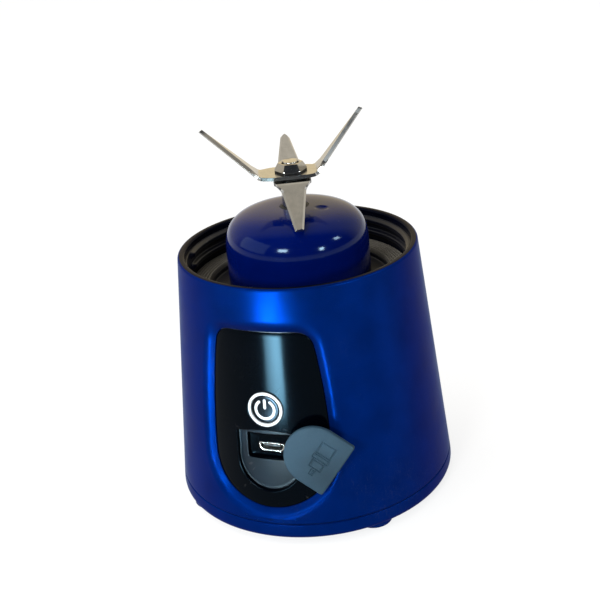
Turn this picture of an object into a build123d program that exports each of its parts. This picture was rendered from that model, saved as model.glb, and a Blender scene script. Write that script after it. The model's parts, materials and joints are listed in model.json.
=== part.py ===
"""Motor base of a portable personal blender, with its blades, as an assembly of parts.

Units are millimetres. The origin is on the blade axis, on the surface that the feet stand on.
+Z points up and the front panel faces -Y. An azimuth is measured about +Z from the front
panel, positive towards +X. An inset is a depth below the outer cone of the casing, square to it.
"""
import os
from math import atan, cos, degrees, radians, sin, tan

from build123d import *

os.makedirs("parts", exist_ok=True)

# ---------------------------------------------------------------- casing
rim_radius = 37.0
base_flare = 7.6
body_height = 78.0
cover_height = 5.0
shell_wall = 1.9
rim_width = 2.25
rim_depth = 2.0
rim_round = 1.0
cover_floor = 2.2
base_round = 2.6
seam_chamfer = 0.3
cover_lip_height = 2.6
cover_lip_wall = 1.4

# ---------------------------------------------------------------- feet and cover screws
foot_radius = 4.9
foot_height = 2.0
foot_boss_drop = 1.2
foot_boss_wall = 0.8
foot_recess = 0.8
foot_inset = 6.6
foot_count = 4
pillar_radius = 3.2
pillar_height = 15.0
screw_radius = 1.3
screw_head_radius = 2.6
screw_head_height = 1.6
screw_length = 10.0

# ---------------------------------------------------------------- jar collar and seal
collar_step = 2.7
collar_depth = 11.5
shelf_width = 6.3
channel_drop = 1.5
collar_floor = 3.0
lug_reach = 1.2
lug_height = 1.3
lug_sweep = 72.0
lug_count = 3
lug_depths = (3.4, 7.2)
seal_base = 1.0
seal_rib_height = 0.5
seal_rib_count = 6
seal_rib_low = 0.3
seal_rib_high = 0.7

# ---------------------------------------------------------------- motor dome
dome_radius = 22.1
dome_shoulder = 2.75
dome_rise = 14.8
dome_power = 3.46
dome_wall = 2.0
dome_flange_width = 6.4
dome_flange = 2.0
dimple_radius = 2.0
dimple_depth = 0.6
dimple_offset = 9.1
dimple_azimuth = 85.7
shaft_seal_radius = 4.4
shaft_seal_flange = 0.6
shaft_seal_depth = 3.0
dome_screw_count = 4
dome_screw_bite = 2.3

# ---------------------------------------------------------------- motor
motor_radius = 13.85
motor_length = 33.0
motor_top_drop = 1.5
motor_wall = 1.0
motor_neck_radius = 5.0
motor_neck_height = 2.0
end_cap_height = 3.5
shaft_radius = 1.585
mount_plate = 2.5
mount_plate_radius = 19.5
mount_boss_radius = 2.2
mount_boss_offset = 16.9
mount_boss_count = 3
motor_screw_offset = 9.0
magnet_wall = 2.0
magnet_end_gap = 9.0
air_gap = 0.5
core_end_gap = 15.0
core_poles = 5
pole_width = 3.6
commutator_radius = 3.4
commutator_length = 3.2
brush_size = 2.4
core_rim = 1.6
slot_mouth = 1.8
winding_wall = 2.0
winding_low = 4.1
winding_high = 7.8

# ---------------------------------------------------------------- blades
hub_radius = 3.5
hub_flange_radius = 5.0
hub_flange = 1.0
blade_seat_height = 20.3
blade_thickness = 1.1
blade_hub_width = 11.2
blade_gap = 0.5
spacer_radius = 4.6
stud_radius = 2.5
stud_flat = 2.0
nut_across_flats = 8.8
nut_height = 2.8
nut_skirt = 0.6
nut_taper = 27.5
stud_proud = 0.4
blade_bend_radius = 2.4
front_arm_azimuth = 24.0
front_arm_bend = 6.2
front_arm_reach = 20.0
front_arm_angle = -36.0
back_arm_bend = 6.4
back_arm_reach = 20.0
back_arm_angle = 31.0
left_arm_bend = 9.6
left_arm_reach = 25.2
left_arm_angle = 44.5
right_arm_bend = 7.6
right_arm_reach = 22.2
right_arm_angle = 50.5
low_arm_root = 4.1
low_arm_tip = 1.25
high_arm_root = 3.7
high_arm_tip = 0.7

# ---------------------------------------------------------------- front panel
panel_centre_height = 28.0
panel_half_width = 18.2
panel_top_half_width = 14.2
panel_top_gap = 13.1
panel_widest = -3.0
panel_bottom = -18.6
panel_corner = 5.6
panel_side_radius = 14.4
panel_recess = 1.8
panel_wall = 1.6
panel_rim_wall = 1.5
panel_flange = 2.2
panel_flange_wall = 1.2
window_bevel = 1.8
window_frame = 3.6
window_frame_depth = 4.0

# ---------------------------------------------------------------- power button
button_height = 12.95
button_ring_radius = 5.35
button_ring_width = 0.85
button_ring_proud = 0.1
button_ring_depth = 1.2
button_radius = 4.3
button_gap = 0.1
button_recess = 0.05
button_back_gap = 0.3
button_flange = 0.9
button_flange_wall = 0.8
button_travel = 0.6
symbol_radius = 2.85
symbol_stroke = 0.85
symbol_gap_angle = 64.0
symbol_depth = 0.35
switch_size = 6.0
switch_height = 3.5
plunger_radius = 1.7
plunger_reach = 1.2
board_depth = 12.0
board_wall = 1.2
board_half_width = 13.0
board_low = 5.0
board_top_gap = 11.9
post_radius = 2.2
post_half_spacing = 10.0
post_low = 8.6
post_top_gap = 3.2
switch_clearance = 0.3

# ---------------------------------------------------------------- charging port
seat_half_width = 9.75
seat_depth = 1.3
seat_side_top = 5.3
seat_crown = 0.9
seat_block_wall = 1.4
seat_block_depth = 5.2
pocket_half_width = 6.9
pocket_low = -3.5
pocket_high = 4.5
pocket_depth = 5.4
pocket_corner = 0.8
pocket_wall = 1.5
port_height = -0.5
port_width = 8.0
port_thickness = 2.7
port_chamfer = 1.1
port_wall = 0.3
port_length = 5.5
port_proud = 0.2
port_back = 1.5
tongue_recess = 0.4
tongue_width = 5.2
tongue_thickness = 0.7
charge_board_half_width = 8.6
charge_board_length = 11.0
rail_half_spacing = 4.0
rail_width = 1.2
rail_height = 2.6

# ---------------------------------------------------------------- port flap
flap_half_width = 9.3
flap_straight = 8.05
flap_centre = -3.4
flap_thickness = 1.6
flap_corner = 0.9
flap_seat_gap = 0.12
flap_pull = 2.5
flap_swing = 124.0
pivot_across = 8.5
pivot_up = -5.5
stem_radius = 1.0
stem_azimuth = 4.0
stem_tilt = 3.9
stem_head_radius = 1.8
stem_head = 1.0
stem_seat = 0.8
ear_radius = 1.9
ear_thickness = 1.1
flap_relief = 0.3

# ---------------------------------------------------------------- battery and wires
cell_radius = 9.1
cell_end_gap = 12.1
cell_gap = 0.8
tray_floor = 1.2
tray_height = 8.0
tray_wall = 1.4
tab_width = 6.0
tab_thickness = 0.3
wire_radius = 0.8
wire_bend = 4.0
motor_lead_half_spacing = 5.0
motor_lead_up = 7.0
battery_lead_half_spacing = 6.0
battery_lead_out = 4.6
battery_lead_run = 8.0
tab_overlap = 3.0

# ---------------------------------------------------------------- fits
slip = 0.1
face_gap = 0.05
running_gap = 0.04
thread_gap = 0.02

# ---------------------------------------------------------------- derived heights
underside_z = foot_height
rim_z = underside_z + body_height
base_radius = rim_radius + base_flare
foot_reach = base_radius - foot_inset
collar_radius = rim_radius - collar_step
shelf_radius = collar_radius - shelf_width
panel_centre_depth = body_height - panel_centre_height
panel_top = panel_centre_depth - panel_top_gap
board_high = panel_top - board_top_gap
post_high = board_high - post_top_gap
cell_length = 2 * (base_radius - cell_end_gap)
magnet_length = motor_length - magnet_end_gap
core_length = motor_length - core_end_gap
seam_z = underside_z + cover_height
floor_z = underside_z + cover_floor
lip_z = seam_z + cover_lip_height
slope = base_flare / body_height
cone_angle = degrees(atan(slope))
collar_top_z = rim_z - rim_depth
shelf_z = rim_z - collar_depth
channel_z = shelf_z - channel_drop
collar_bottom_z = channel_z - collar_floor
flange_bottom_z = collar_bottom_z - dome_flange
dome_side_z = rim_z - dome_shoulder
motor_top_z = rim_z - motor_top_drop
motor_low_z = motor_top_z - motor_length
plate_top_z = motor_top_z + mount_plate
blade_seat_z = rim_z + blade_seat_height
frame_top_z = collar_bottom_z - slip
panel_back = panel_recess + panel_wall
reach = 14.0
beyond = 20.0


def cone_radius(z, inset=0.0):
    """Radius of the casing's cone at height z, moved in by an inset."""
    return rim_radius + (rim_z - z) * slope - inset / cos(radians(cone_angle))


def inner_radius(z):
    """Inside radius of the outer shell at height z."""
    return cone_radius(z) - shell_wall


def cone_core(inset, low=-beyond, high=rim_z + beyond):
    """Solid inside the casing's cone, moved in by an inset."""
    with BuildPart() as core:
        with BuildSketch(Plane.XZ):
            with BuildLine():
                Polyline(
                    (0, low),
                    (cone_radius(low, inset), low),
                    (cone_radius(high, inset), high),
                    (0, high),
                    close=True,
                )
            make_face()
        revolve(axis=Axis.Z)
    return core.part


def radial_plane(azimuth, height):
    """Horizontal plane whose x axis points out along an azimuth."""
    angle = radians(azimuth)
    return Plane(origin=(0, 0, height), x_dir=(sin(angle), -cos(angle), 0), z_dir=(0, 0, 1))


panel_plane = Plane(
    origin=(0, -cone_radius(rim_z - panel_centre_depth), rim_z - panel_centre_depth),
    x_dir=(1, 0, 0),
    z_dir=(0, -cos(radians(cone_angle)), sin(radians(cone_angle))),
)


def in_front(sketch, inset):
    """Space in front of a sketch on the panel, down to a surface at an inset."""
    with BuildPart() as space:
        extrude(sketch, amount=reach, both=True)
        add(cone_core(inset), mode=Mode.SUBTRACT)
    return space.part


def layer(sketch, outer_inset, inner_inset, low=-beyond, high=rim_z + beyond):
    """Curved slab with the outline of a sketch on the panel, between two insets and two heights."""
    with BuildPart() as slab:
        extrude(sketch, amount=reach, both=True)
        add(cone_core(outer_inset, low, high), mode=Mode.INTERSECT)
        add(cone_core(inner_inset), mode=Mode.SUBTRACT)
    return slab.part


def disc(radius, at, plane=panel_plane):
    """Round sketch on a plane."""
    with BuildSketch(plane) as shape:
        with Locations(at):
            Circle(radius)
    return shape.sketch


def finish(builder, name):
    """Label a finished part and write it to its own file."""
    builder.part.label = name
    export_step(builder.part, f"parts/{name}.step")


# ================================================================ casing
# The bottom of the panel is one flat arc between two tighter side arcs, all tangent.
side_inset = panel_half_width - panel_side_radius
side_drop = panel_widest - panel_bottom - panel_side_radius
low_rise = (side_inset**2 - side_drop**2) / (2 * side_drop)
low_radius = low_rise + side_drop + panel_side_radius
low_share = low_radius / (low_radius - panel_side_radius)
low_joint = (side_inset * low_share, panel_widest + low_rise * (1 - low_share))


def panel_outline(margin):
    """Tall U of the front panel, grown by a margin."""
    with BuildSketch(panel_plane) as shape:
        with BuildLine():
            low_arc = TangentArc((0, panel_bottom), low_joint, tangent=(1, 0))
            TangentArc(low_joint, (panel_half_width, panel_widest), tangent=low_arc % 1)
            TangentArc((panel_half_width, panel_widest), (panel_top_half_width, panel_top), tangent=(0, 1))
            Line((panel_top_half_width, panel_top), (0, panel_top))
            mirror(about=Plane.YZ)
        make_face()
        fillet(shape.vertices().group_by(Axis.Y)[-1].sort_by(Axis.X)[0], panel_corner)
        fillet(shape.vertices().group_by(Axis.Y)[-1].sort_by(Axis.X)[-1], panel_corner)
        if margin:
            offset(amount=margin)
    return shape.sketch


def pillar_slots(margin):
    """Slots of the screw pillars, which run out into the shell's wall."""
    with BuildSketch(Plane.XY) as shape:
        with PolarLocations(foot_reach + foot_inset / 2, foot_count, start_angle=45):
            SlotCenterToCenter(foot_inset, 2 * (pillar_radius + margin))
    return shape.sketch


with BuildPart() as pillars:
    add(Plane.XY.offset(seam_z) * pillar_slots(0))
    extrude(amount=pillar_height)
    add(cone_core(shell_wall / 2), mode=Mode.INTERSECT)
    with BuildSketch(Plane.XY.offset(seam_z)):
        with PolarLocations(foot_reach, foot_count, start_angle=45):
            Circle(screw_radius + thread_gap)
    extrude(amount=screw_length, mode=Mode.SUBTRACT)

with BuildPart() as outer_shell:
    with BuildSketch(Plane.XZ):
        with BuildLine():
            Polyline(
                (cone_radius(seam_z), seam_z),
                (rim_radius, rim_z),
                (rim_radius - rim_width, rim_z),
                (rim_radius - rim_width, collar_top_z),
                (inner_radius(collar_top_z), collar_top_z),
                (inner_radius(seam_z), seam_z),
                close=True,
            )
        make_face()
    revolve(axis=Axis.Z)
    fillet(outer_shell.edges().group_by(Axis.Z)[-1], rim_round)
    chamfer(outer_shell.edges().group_by(Axis.Z)[0].sort_by(SortBy.RADIUS)[-1], seam_chamfer)
    add(pillars.part)
    add(layer(panel_outline(window_frame), shell_wall / 2, window_frame_depth, lip_z + slip, frame_top_z))
    extrude(panel_outline(slip), amount=reach, both=True, mode=Mode.SUBTRACT)
    window_edges = [
        edge
        for edge in outer_shell.edges(Select.LAST)
        if all(
            abs(Vector(p.X, p.Y).length - cone_radius(p.Z)) < 0.001
            for p in (edge.position_at(0), edge.position_at(0.5), edge.position_at(1))
        )
    ]
    chamfer(window_edges, window_bevel)
finish(outer_shell, "outer_shell")

with BuildPart() as bottom_cover:
    with BuildSketch(Plane.XZ):
        with BuildLine():
            Polyline(
                (0, underside_z),
                (cone_radius(underside_z), underside_z),
                (cone_radius(seam_z), seam_z),
                (inner_radius(seam_z) - slip, seam_z),
                (inner_radius(lip_z) - slip, lip_z),
                (inner_radius(lip_z) - slip - cover_lip_wall, lip_z),
                (inner_radius(seam_z) - slip - cover_lip_wall, floor_z),
                (0, floor_z),
                close=True,
            )
        make_face()
    revolve(axis=Axis.Z)
    fillet(bottom_cover.edges().group_by(Axis.Z)[0], base_round)
    seam_edges = bottom_cover.edges().filter_by_position(Axis.Z, seam_z - face_gap, seam_z + face_gap)
    chamfer(seam_edges.sort_by(SortBy.RADIUS)[-1], seam_chamfer)
    with BuildSketch(Plane.XY.offset(seam_z)):
        add(pillar_slots(slip))
    extrude(amount=cover_lip_height, mode=Mode.SUBTRACT)
    with BuildSketch(Plane.XY.offset(floor_z - cover_floor / 2)):
        with PolarLocations(foot_reach, foot_count, start_angle=45):
            Circle(pillar_radius)
    extrude(amount=seam_z - floor_z + cover_floor / 2)
    with BuildSketch(Plane.XY.offset(underside_z - foot_boss_drop)):
        with PolarLocations(foot_reach, foot_count, start_angle=45):
            Circle(foot_radius + foot_boss_wall)
    extrude(amount=foot_boss_drop + cover_floor)
    with BuildSketch(Plane.XY.offset(underside_z - foot_boss_drop)):
        with PolarLocations(foot_reach, foot_count, start_angle=45):
            Circle(foot_radius + face_gap)
    extrude(amount=foot_recess, mode=Mode.SUBTRACT)
    with BuildSketch(Plane.XY.offset(underside_z - foot_boss_drop + foot_recess)):
        with PolarLocations(foot_reach, foot_count, start_angle=45):
            Circle(screw_head_radius + slip)
    extrude(amount=screw_head_height, mode=Mode.SUBTRACT)
    with BuildSketch(Plane.XY.offset(underside_z)):
        with PolarLocations(foot_reach, foot_count, start_angle=45):
            Circle(screw_radius + slip)
    extrude(amount=cover_height, mode=Mode.SUBTRACT)
finish(bottom_cover, "bottom_cover")

with BuildPart() as rubber_feet:
    with BuildSketch():
        with PolarLocations(foot_reach, foot_count, start_angle=45):
            Circle(foot_radius)
    extrude(amount=foot_height - foot_boss_drop + foot_recess)
    chamfer(rubber_feet.edges().group_by(Axis.Z)[0], foot_recess / 2)
finish(rubber_feet, "rubber_feet")

screw_seat_z = underside_z - foot_boss_drop + foot_recess + screw_head_height
with BuildPart() as cover_screws:
    with BuildSketch(Plane.XY.offset(screw_seat_z)):
        with PolarLocations(foot_reach, foot_count, start_angle=45):
            Circle(screw_head_radius)
    extrude(amount=-screw_head_height + face_gap)
    with BuildSketch(Plane.XY.offset(screw_seat_z)):
        with PolarLocations(foot_reach, foot_count, start_angle=45):
            Circle(screw_radius)
    extrude(amount=screw_length)
finish(cover_screws, "cover_screws")

# ================================================================ jar collar and seal
channel_radius = dome_radius + slip


def lug_ring(depth):
    """One bayonet lug on the collar's inner wall, centred on a depth below the rim."""
    middle = rim_z - depth
    with BuildPart() as lug:
        with BuildSketch(Plane.XZ):
            with BuildLine():
                Polyline(
                    (collar_radius + slip, middle + lug_height),
                    (collar_radius - lug_reach, middle + lug_height / 3),
                    (collar_radius - lug_reach, middle - lug_height / 3),
                    (collar_radius + slip, middle - lug_height),
                    close=True,
                )
            make_face()
        revolve(axis=Axis.Z, revolution_arc=lug_sweep)
    return lug.part


with BuildPart() as jar_collar:
    with BuildSketch(Plane.XZ):
        with BuildLine():
            Polyline(
                (collar_radius, collar_top_z - face_gap),
                (collar_radius, shelf_z),
                (shelf_radius, shelf_z),
                (shelf_radius, channel_z),
                (channel_radius, channel_z),
                (channel_radius, collar_bottom_z),
                (shelf_radius + collar_floor, collar_bottom_z),
                (inner_radius(shelf_z - collar_floor) - slip, shelf_z - collar_floor),
                (inner_radius(collar_top_z) - slip, collar_top_z - face_gap),
                close=True,
            )
        make_face()
    revolve(axis=Axis.Z)
    for depth in lug_depths:
        with PolarLocations(0, lug_count):
            add(lug_ring(depth))
    with BuildSketch(Plane.XY.offset(collar_bottom_z)):
        with PolarLocations(channel_radius + dome_flange_width / 2, dome_screw_count):
            Circle(screw_radius + thread_gap)
    extrude(amount=dome_screw_bite + slip, mode=Mode.SUBTRACT)
    add(layer(panel_outline(2 * slip), 0, panel_back + slip), mode=Mode.SUBTRACT)
finish(jar_collar, "jar_collar")

seal_inner = shelf_radius + slip
seal_outer = collar_radius - slip
seal_pitch = (seal_outer - seal_inner) / seal_rib_count
seal_low = shelf_z + seal_base
seal_high = seal_low + seal_rib_height
rib_points = []
for rib in range(seal_rib_count):
    rib_start = seal_inner + rib * seal_pitch
    rib_points.append((rib_start, seal_low))
    rib_points.append((rib_start + seal_pitch * seal_rib_low, seal_high))
    rib_points.append((rib_start + seal_pitch * seal_rib_high, seal_high))
with BuildPart() as seal_ring:
    with BuildSketch(Plane.XZ):
        with BuildLine():
            Polyline(
                (seal_inner, shelf_z),
                *rib_points,
                (seal_outer, seal_low),
                (seal_outer, shelf_z),
                close=True,
            )
        make_face()
    revolve(axis=Axis.Z)
finish(seal_ring, "seal_ring")

# ================================================================ motor dome


def dome_height(radius, wall=0.0):
    """Height of the dome's cap at a radius, for the outside or for the inside of its wall."""
    share = min(radius / (dome_radius - wall), 1.0)
    return dome_side_z + (dome_rise - wall) * (1 - share**dome_power) ** (1 / dome_power)


def dome_solid(wall, low):
    """Solid with the dome's outer or inner shape, down to a height."""
    edge = dome_radius - wall
    shares = (1.0, 0.99, 0.96, 0.9, 0.8, 0.62, 0.35, 0.0)
    with BuildPart() as solid:
        with BuildSketch(Plane.XZ):
            with BuildLine():
                cap = Spline(
                    *[(edge * share, dome_height(edge * share, wall)) for share in shares],
                    tangents=((0, 1), (-1, 0)),
                )
                Polyline(cap @ 1, (0, low), (edge, low), cap @ 0)
            make_face()
        revolve(axis=Axis.Z)
    return solid.part


dome_outside = dome_solid(0.0, flange_bottom_z)
with BuildPart() as motor_dome:
    add(dome_outside)
    with BuildSketch(Plane.XY.offset(flange_bottom_z)):
        Circle(channel_radius + dome_flange_width)
    extrude(amount=dome_flange)
    add(dome_solid(dome_wall, flange_bottom_z), mode=Mode.SUBTRACT)
    with BuildSketch(Plane.XY.offset(plate_top_z)):
        with PolarLocations(mount_boss_offset, mount_boss_count, start_angle=90):
            Circle(mount_boss_radius)
    extrude(until=Until.NEXT)
    with BuildSketch(Plane.XY.offset(plate_top_z)):
        with PolarLocations(mount_boss_offset, mount_boss_count, start_angle=90):
            Circle(screw_radius + thread_gap)
    extrude(amount=screw_length / 3, mode=Mode.SUBTRACT)
    with BuildSketch(Plane.XY.offset(flange_bottom_z)):
        with PolarLocations(channel_radius + dome_flange_width / 2, dome_screw_count):
            Circle(screw_radius + slip)
    extrude(amount=dome_flange, mode=Mode.SUBTRACT)
    with BuildSketch(Plane.XY.offset(plate_top_z)):
        Circle(shaft_seal_radius)
    extrude(amount=dome_rise * 2, mode=Mode.SUBTRACT)
    ball = (dimple_radius**2 + dimple_depth**2) / (2 * dimple_depth)
    with Locations(
        (
            dimple_offset * sin(radians(dimple_azimuth)),
            -dimple_offset * cos(radians(dimple_azimuth)),
            dome_height(dimple_offset) + ball - dimple_depth,
        )
    ):
        Sphere(ball, mode=Mode.SUBTRACT)
finish(motor_dome, "motor_dome")

with BuildPart() as dome_screws:
    with BuildSketch(Plane.XY.offset(flange_bottom_z)):
        with PolarLocations(channel_radius + dome_flange_width / 2, dome_screw_count):
            Circle(screw_head_radius)
    extrude(amount=-screw_head_height)
    with BuildSketch(Plane.XY.offset(flange_bottom_z)):
        with PolarLocations(channel_radius + dome_flange_width / 2, dome_screw_count):
            Circle(screw_radius)
    extrude(amount=dome_flange + dome_screw_bite)
finish(dome_screws, "dome_screws")

dome_top_z = dome_height(0)
with BuildPart() as shaft_seal:
    with BuildSketch(Plane.XY.offset(dome_top_z - shaft_seal_depth)):
        Circle(shaft_seal_radius - face_gap)
    extrude(amount=shaft_seal_depth)
    with BuildSketch(Plane.XY.offset(dome_top_z)):
        Circle(shaft_seal_radius + shaft_seal_flange)
    extrude(amount=face_gap + shaft_seal_flange / 2)
    with BuildSketch(Plane.XY.offset(dome_top_z - shaft_seal_depth)):
        Circle(hub_radius + running_gap)
    extrude(amount=dome_rise, mode=Mode.SUBTRACT)
    chamfer(shaft_seal.edges().group_by(Axis.Z)[-1].sort_by(SortBy.RADIUS)[-1], shaft_seal_flange / 3)
finish(shaft_seal, "shaft_seal")

# ================================================================ motor, held parts
with BuildPart() as motor_mount:
    with BuildSketch(Plane.XY.offset(motor_top_z)):
        Circle(mount_plate_radius)
        Circle(motor_neck_radius + slip, mode=Mode.SUBTRACT)
        with PolarLocations(mount_boss_offset, mount_boss_count, start_angle=90):
            Circle(screw_radius + slip, mode=Mode.SUBTRACT)
        with PolarLocations(motor_screw_offset, 2):
            Circle(screw_radius + slip, mode=Mode.SUBTRACT)
    extrude(amount=mount_plate)
finish(motor_mount, "motor_mount")

with BuildPart() as mount_screws:
    with BuildSketch(Plane.XY.offset(motor_top_z)):
        with PolarLocations(mount_boss_offset, mount_boss_count, start_angle=90):
            Circle(mount_boss_radius)
    extrude(amount=-screw_head_height)
    with BuildSketch(Plane.XY.offset(motor_top_z)):
        with PolarLocations(mount_boss_offset, mount_boss_count, start_angle=90):
            Circle(screw_radius)
    extrude(amount=mount_plate + screw_length / 3 - slip)
finish(mount_screws, "mount_screws")

with BuildPart() as motor_screws:
    with BuildSketch(Plane.XY.offset(plate_top_z)):
        with PolarLocations(motor_screw_offset, 2):
            Circle(screw_head_radius)
    extrude(amount=screw_head_height)
    with BuildSketch(Plane.XY.offset(motor_top_z - motor_wall)):
        with PolarLocations(motor_screw_offset, 2):
            Circle(screw_radius)
    extrude(amount=mount_plate + motor_wall)
finish(motor_screws, "motor_screws")

bearing_radius = motor_neck_radius - motor_wall
with BuildPart() as motor_can:
    with BuildSketch(Plane.XY.offset(motor_low_z + end_cap_height)):
        Circle(motor_radius)
    extrude(amount=motor_length - end_cap_height)
    with BuildSketch(Plane.XY.offset(motor_low_z + end_cap_height)):
        Circle(motor_radius - motor_wall)
    extrude(amount=motor_length - end_cap_height - motor_wall, mode=Mode.SUBTRACT)
    with BuildSketch(Plane.XY.offset(motor_top_z)):
        Circle(motor_neck_radius)
    extrude(amount=motor_neck_height)
    with BuildSketch(Plane.XY.offset(motor_top_z - 2 * motor_wall)):
        Circle(bearing_radius)
    extrude(amount=motor_neck_height + 2 * motor_wall, mode=Mode.SUBTRACT)
    with BuildSketch(Plane.XY.offset(motor_top_z - motor_wall)):
        with PolarLocations(motor_screw_offset, 2):
            Circle(screw_radius + thread_gap)
    extrude(amount=motor_wall, mode=Mode.SUBTRACT)
finish(motor_can, "motor_can")

bearing_length = motor_neck_height + motor_wall
with BuildPart() as upper_bearing:
    with BuildSketch(Plane.XY.offset(motor_top_z - motor_wall)):
        Circle(bearing_radius)
        Circle(shaft_radius + running_gap, mode=Mode.SUBTRACT)
    extrude(amount=bearing_length)
finish(upper_bearing, "upper_bearing")

with BuildPart() as motor_end_cap:
    with BuildSketch(Plane.XY.offset(motor_low_z)):
        Circle(motor_radius)
    extrude(amount=end_cap_height)
    with BuildSketch(Plane.XY.offset(motor_low_z + end_cap_height - motor_wall)):
        Circle(motor_radius - 2 * motor_wall)
    extrude(amount=motor_wall, mode=Mode.SUBTRACT)
    with BuildSketch(Plane.XY.offset(motor_low_z + end_cap_height - motor_wall)):
        with PolarLocations(commutator_radius + running_gap + brush_size, 2):
            Rectangle(2 * brush_size + 2 * motor_wall, brush_size + 2 * motor_wall)
    extrude(amount=commutator_length + motor_wall)
    with BuildSketch(Plane.XY.offset(motor_low_z + motor_wall / 2)):
        Circle(bearing_radius)
    extrude(amount=end_cap_height, mode=Mode.SUBTRACT)
    with BuildSketch(Plane.XY.offset(motor_low_z + end_cap_height)):
        with PolarLocations(commutator_radius + running_gap + brush_size, 2):
            Rectangle(4 * brush_size, brush_size + 2 * face_gap)
        Circle(bearing_radius + face_gap)
    extrude(amount=commutator_length, mode=Mode.SUBTRACT)
finish(motor_end_cap, "motor_end_cap")

with BuildPart() as lower_bearing:
    with BuildSketch(Plane.XY.offset(motor_low_z + motor_wall / 2)):
        Circle(bearing_radius)
        Circle(shaft_radius + running_gap, mode=Mode.SUBTRACT)
    extrude(amount=end_cap_height - motor_wall)
finish(lower_bearing, "lower_bearing")

with BuildPart() as brushes:
    with BuildSketch(Plane.XY.offset(motor_low_z + end_cap_height)):
        with PolarLocations(commutator_radius + running_gap + brush_size, 2):
            Rectangle(2 * brush_size, brush_size)
        Circle(commutator_radius + running_gap, mode=Mode.SUBTRACT)
    extrude(amount=brush_size)
finish(brushes, "brushes")

magnet_outer = motor_radius - motor_wall - face_gap
magnet_inner = magnet_outer - magnet_wall
magnet_low_z = motor_top_z - motor_wall - magnet_length
with BuildPart() as field_magnets:
    with BuildSketch(Plane.XY.offset(magnet_low_z)):
        Circle(magnet_outer)
        Circle(magnet_inner, mode=Mode.SUBTRACT)
        Rectangle(2 * motor_radius, motor_radius / 2, mode=Mode.SUBTRACT)
    extrude(amount=magnet_length - motor_wall)
finish(field_magnets, "field_magnets")

# ================================================================ rotor
core_radius = magnet_inner - air_gap
core_low_z = magnet_low_z + (magnet_length - core_length) / 2
commutator_low_z = motor_low_z + end_cap_height
with BuildPart() as motor_shaft:
    with BuildSketch(Plane.XY.offset(motor_low_z + motor_wall)):
        Circle(shaft_radius)
    extrude(amount=blade_seat_z - motor_low_z - 2 * motor_wall)
finish(motor_shaft, "motor_shaft")

hub_low_z = motor_top_z + motor_neck_height + 2 * motor_wall
stud_height = 2 * blade_thickness + blade_gap + nut_height + stud_proud
with BuildPart() as blade_hub:
    with BuildSketch(Plane.XY.offset(hub_low_z)):
        Circle(hub_radius)
    extrude(amount=blade_seat_z - hub_low_z)
    with BuildSketch(Plane.XY.offset(blade_seat_z - hub_flange)):
        Circle(hub_flange_radius)
    extrude(amount=hub_flange)
    with BuildSketch(radial_plane(front_arm_azimuth, blade_seat_z)):
        Circle(stud_radius)
        Rectangle(2 * stud_radius, 2 * stud_flat, mode=Mode.INTERSECT)
    extrude(amount=stud_height)
    chamfer(blade_hub.edges().group_by(Axis.Z)[-1], stud_proud / 2)
    with BuildSketch(Plane.XY.offset(hub_low_z)):
        Circle(shaft_radius)
    extrude(amount=blade_seat_z - hub_low_z - motor_wall, mode=Mode.SUBTRACT)
finish(blade_hub, "blade_hub")

with BuildPart() as rotor_core:
    with BuildSketch(Plane.XY.offset(core_low_z)):
        Circle(core_radius)
        Circle(core_radius - core_rim, mode=Mode.SUBTRACT)
        with PolarLocations(0, core_poles):
            with Locations((core_radius / 2, 0)):
                Rectangle(core_radius, pole_width)
        with PolarLocations(core_radius, core_poles, start_angle=180 / core_poles):
            Rectangle(2 * pole_width, slot_mouth, mode=Mode.SUBTRACT)
        Circle(shaft_radius + pole_width / 2)
        Circle(shaft_radius, mode=Mode.SUBTRACT)
        Circle(core_radius, mode=Mode.INTERSECT)
    extrude(amount=core_length)
finish(rotor_core, "rotor_core")

winding_middle = (winding_low + winding_high) / 2
with BuildPart() as rotor_windings:
    for side in (-1, 1):
        with BuildSketch(Plane.XY.offset(core_low_z - winding_wall)):
            with PolarLocations(0, core_poles):
                with Locations((winding_middle, side * (pole_width / 2 + slip + winding_wall / 4))):
                    Rectangle(winding_high - winding_low, winding_wall / 2)
        extrude(amount=core_length + 2 * winding_wall)
    for low in (core_low_z - winding_wall, core_low_z + core_length + slip):
        with BuildSketch(Plane.XY.offset(low)):
            with PolarLocations(0, core_poles):
                with Locations((winding_middle, 0)):
                    Rectangle(winding_high - winding_low, pole_width + 2 * slip + winding_wall)
        extrude(amount=winding_wall - slip)
finish(rotor_windings, "rotor_windings")

with BuildPart() as commutator:
    with BuildSketch(Plane.XY.offset(commutator_low_z)):
        Circle(commutator_radius)
        Circle(shaft_radius, mode=Mode.SUBTRACT)
    extrude(amount=commutator_length)
finish(commutator, "commutator")


# ================================================================ blades
def arm_profile(plane, way, bend, reach_out, angle):
    """Side view of one blade arm: level at the hub, then bent by an angle, with a constant thickness."""
    half = blade_thickness / 2
    shift = half * tan(radians(angle / 2))
    rise = (reach_out - bend) * tan(radians(angle))
    tip_in = half * sin(radians(angle))
    tip_up = half * cos(radians(angle))
    upward = 1 if angle > 0 else -1
    with BuildSketch(plane) as shape:
        with BuildLine():
            low_side = FilletPolyline(
                (0, -half),
                (way * (bend + shift), -half),
                (way * (reach_out + tip_in), rise - tip_up),
                radius=blade_bend_radius + upward * half,
            )
            high_side = FilletPolyline(
                (0, half),
                (way * (bend - shift), half),
                (way * (reach_out - tip_in), rise + tip_up),
                radius=blade_bend_radius - upward * half,
            )
            Line(low_side @ 1, high_side @ 1)
            Line(low_side @ 0, high_side @ 0)
        make_face()
    return shape.sketch


def arm_plan(plane, way, bend, reach_out, root, tip):
    """Plan of one blade arm: straight sides to the bend, then a taper to a slanting tip."""
    with BuildSketch(plane) as shape:
        with BuildLine():
            Polyline(
                (0, root),
                (way * bend, root),
                (way * (reach_out - tip), tip),
                (way * (reach_out + tip), -tip),
                (way * bend, -root),
                (0, -root),
                close=True,
            )
        make_face()
    return shape.sketch


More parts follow.
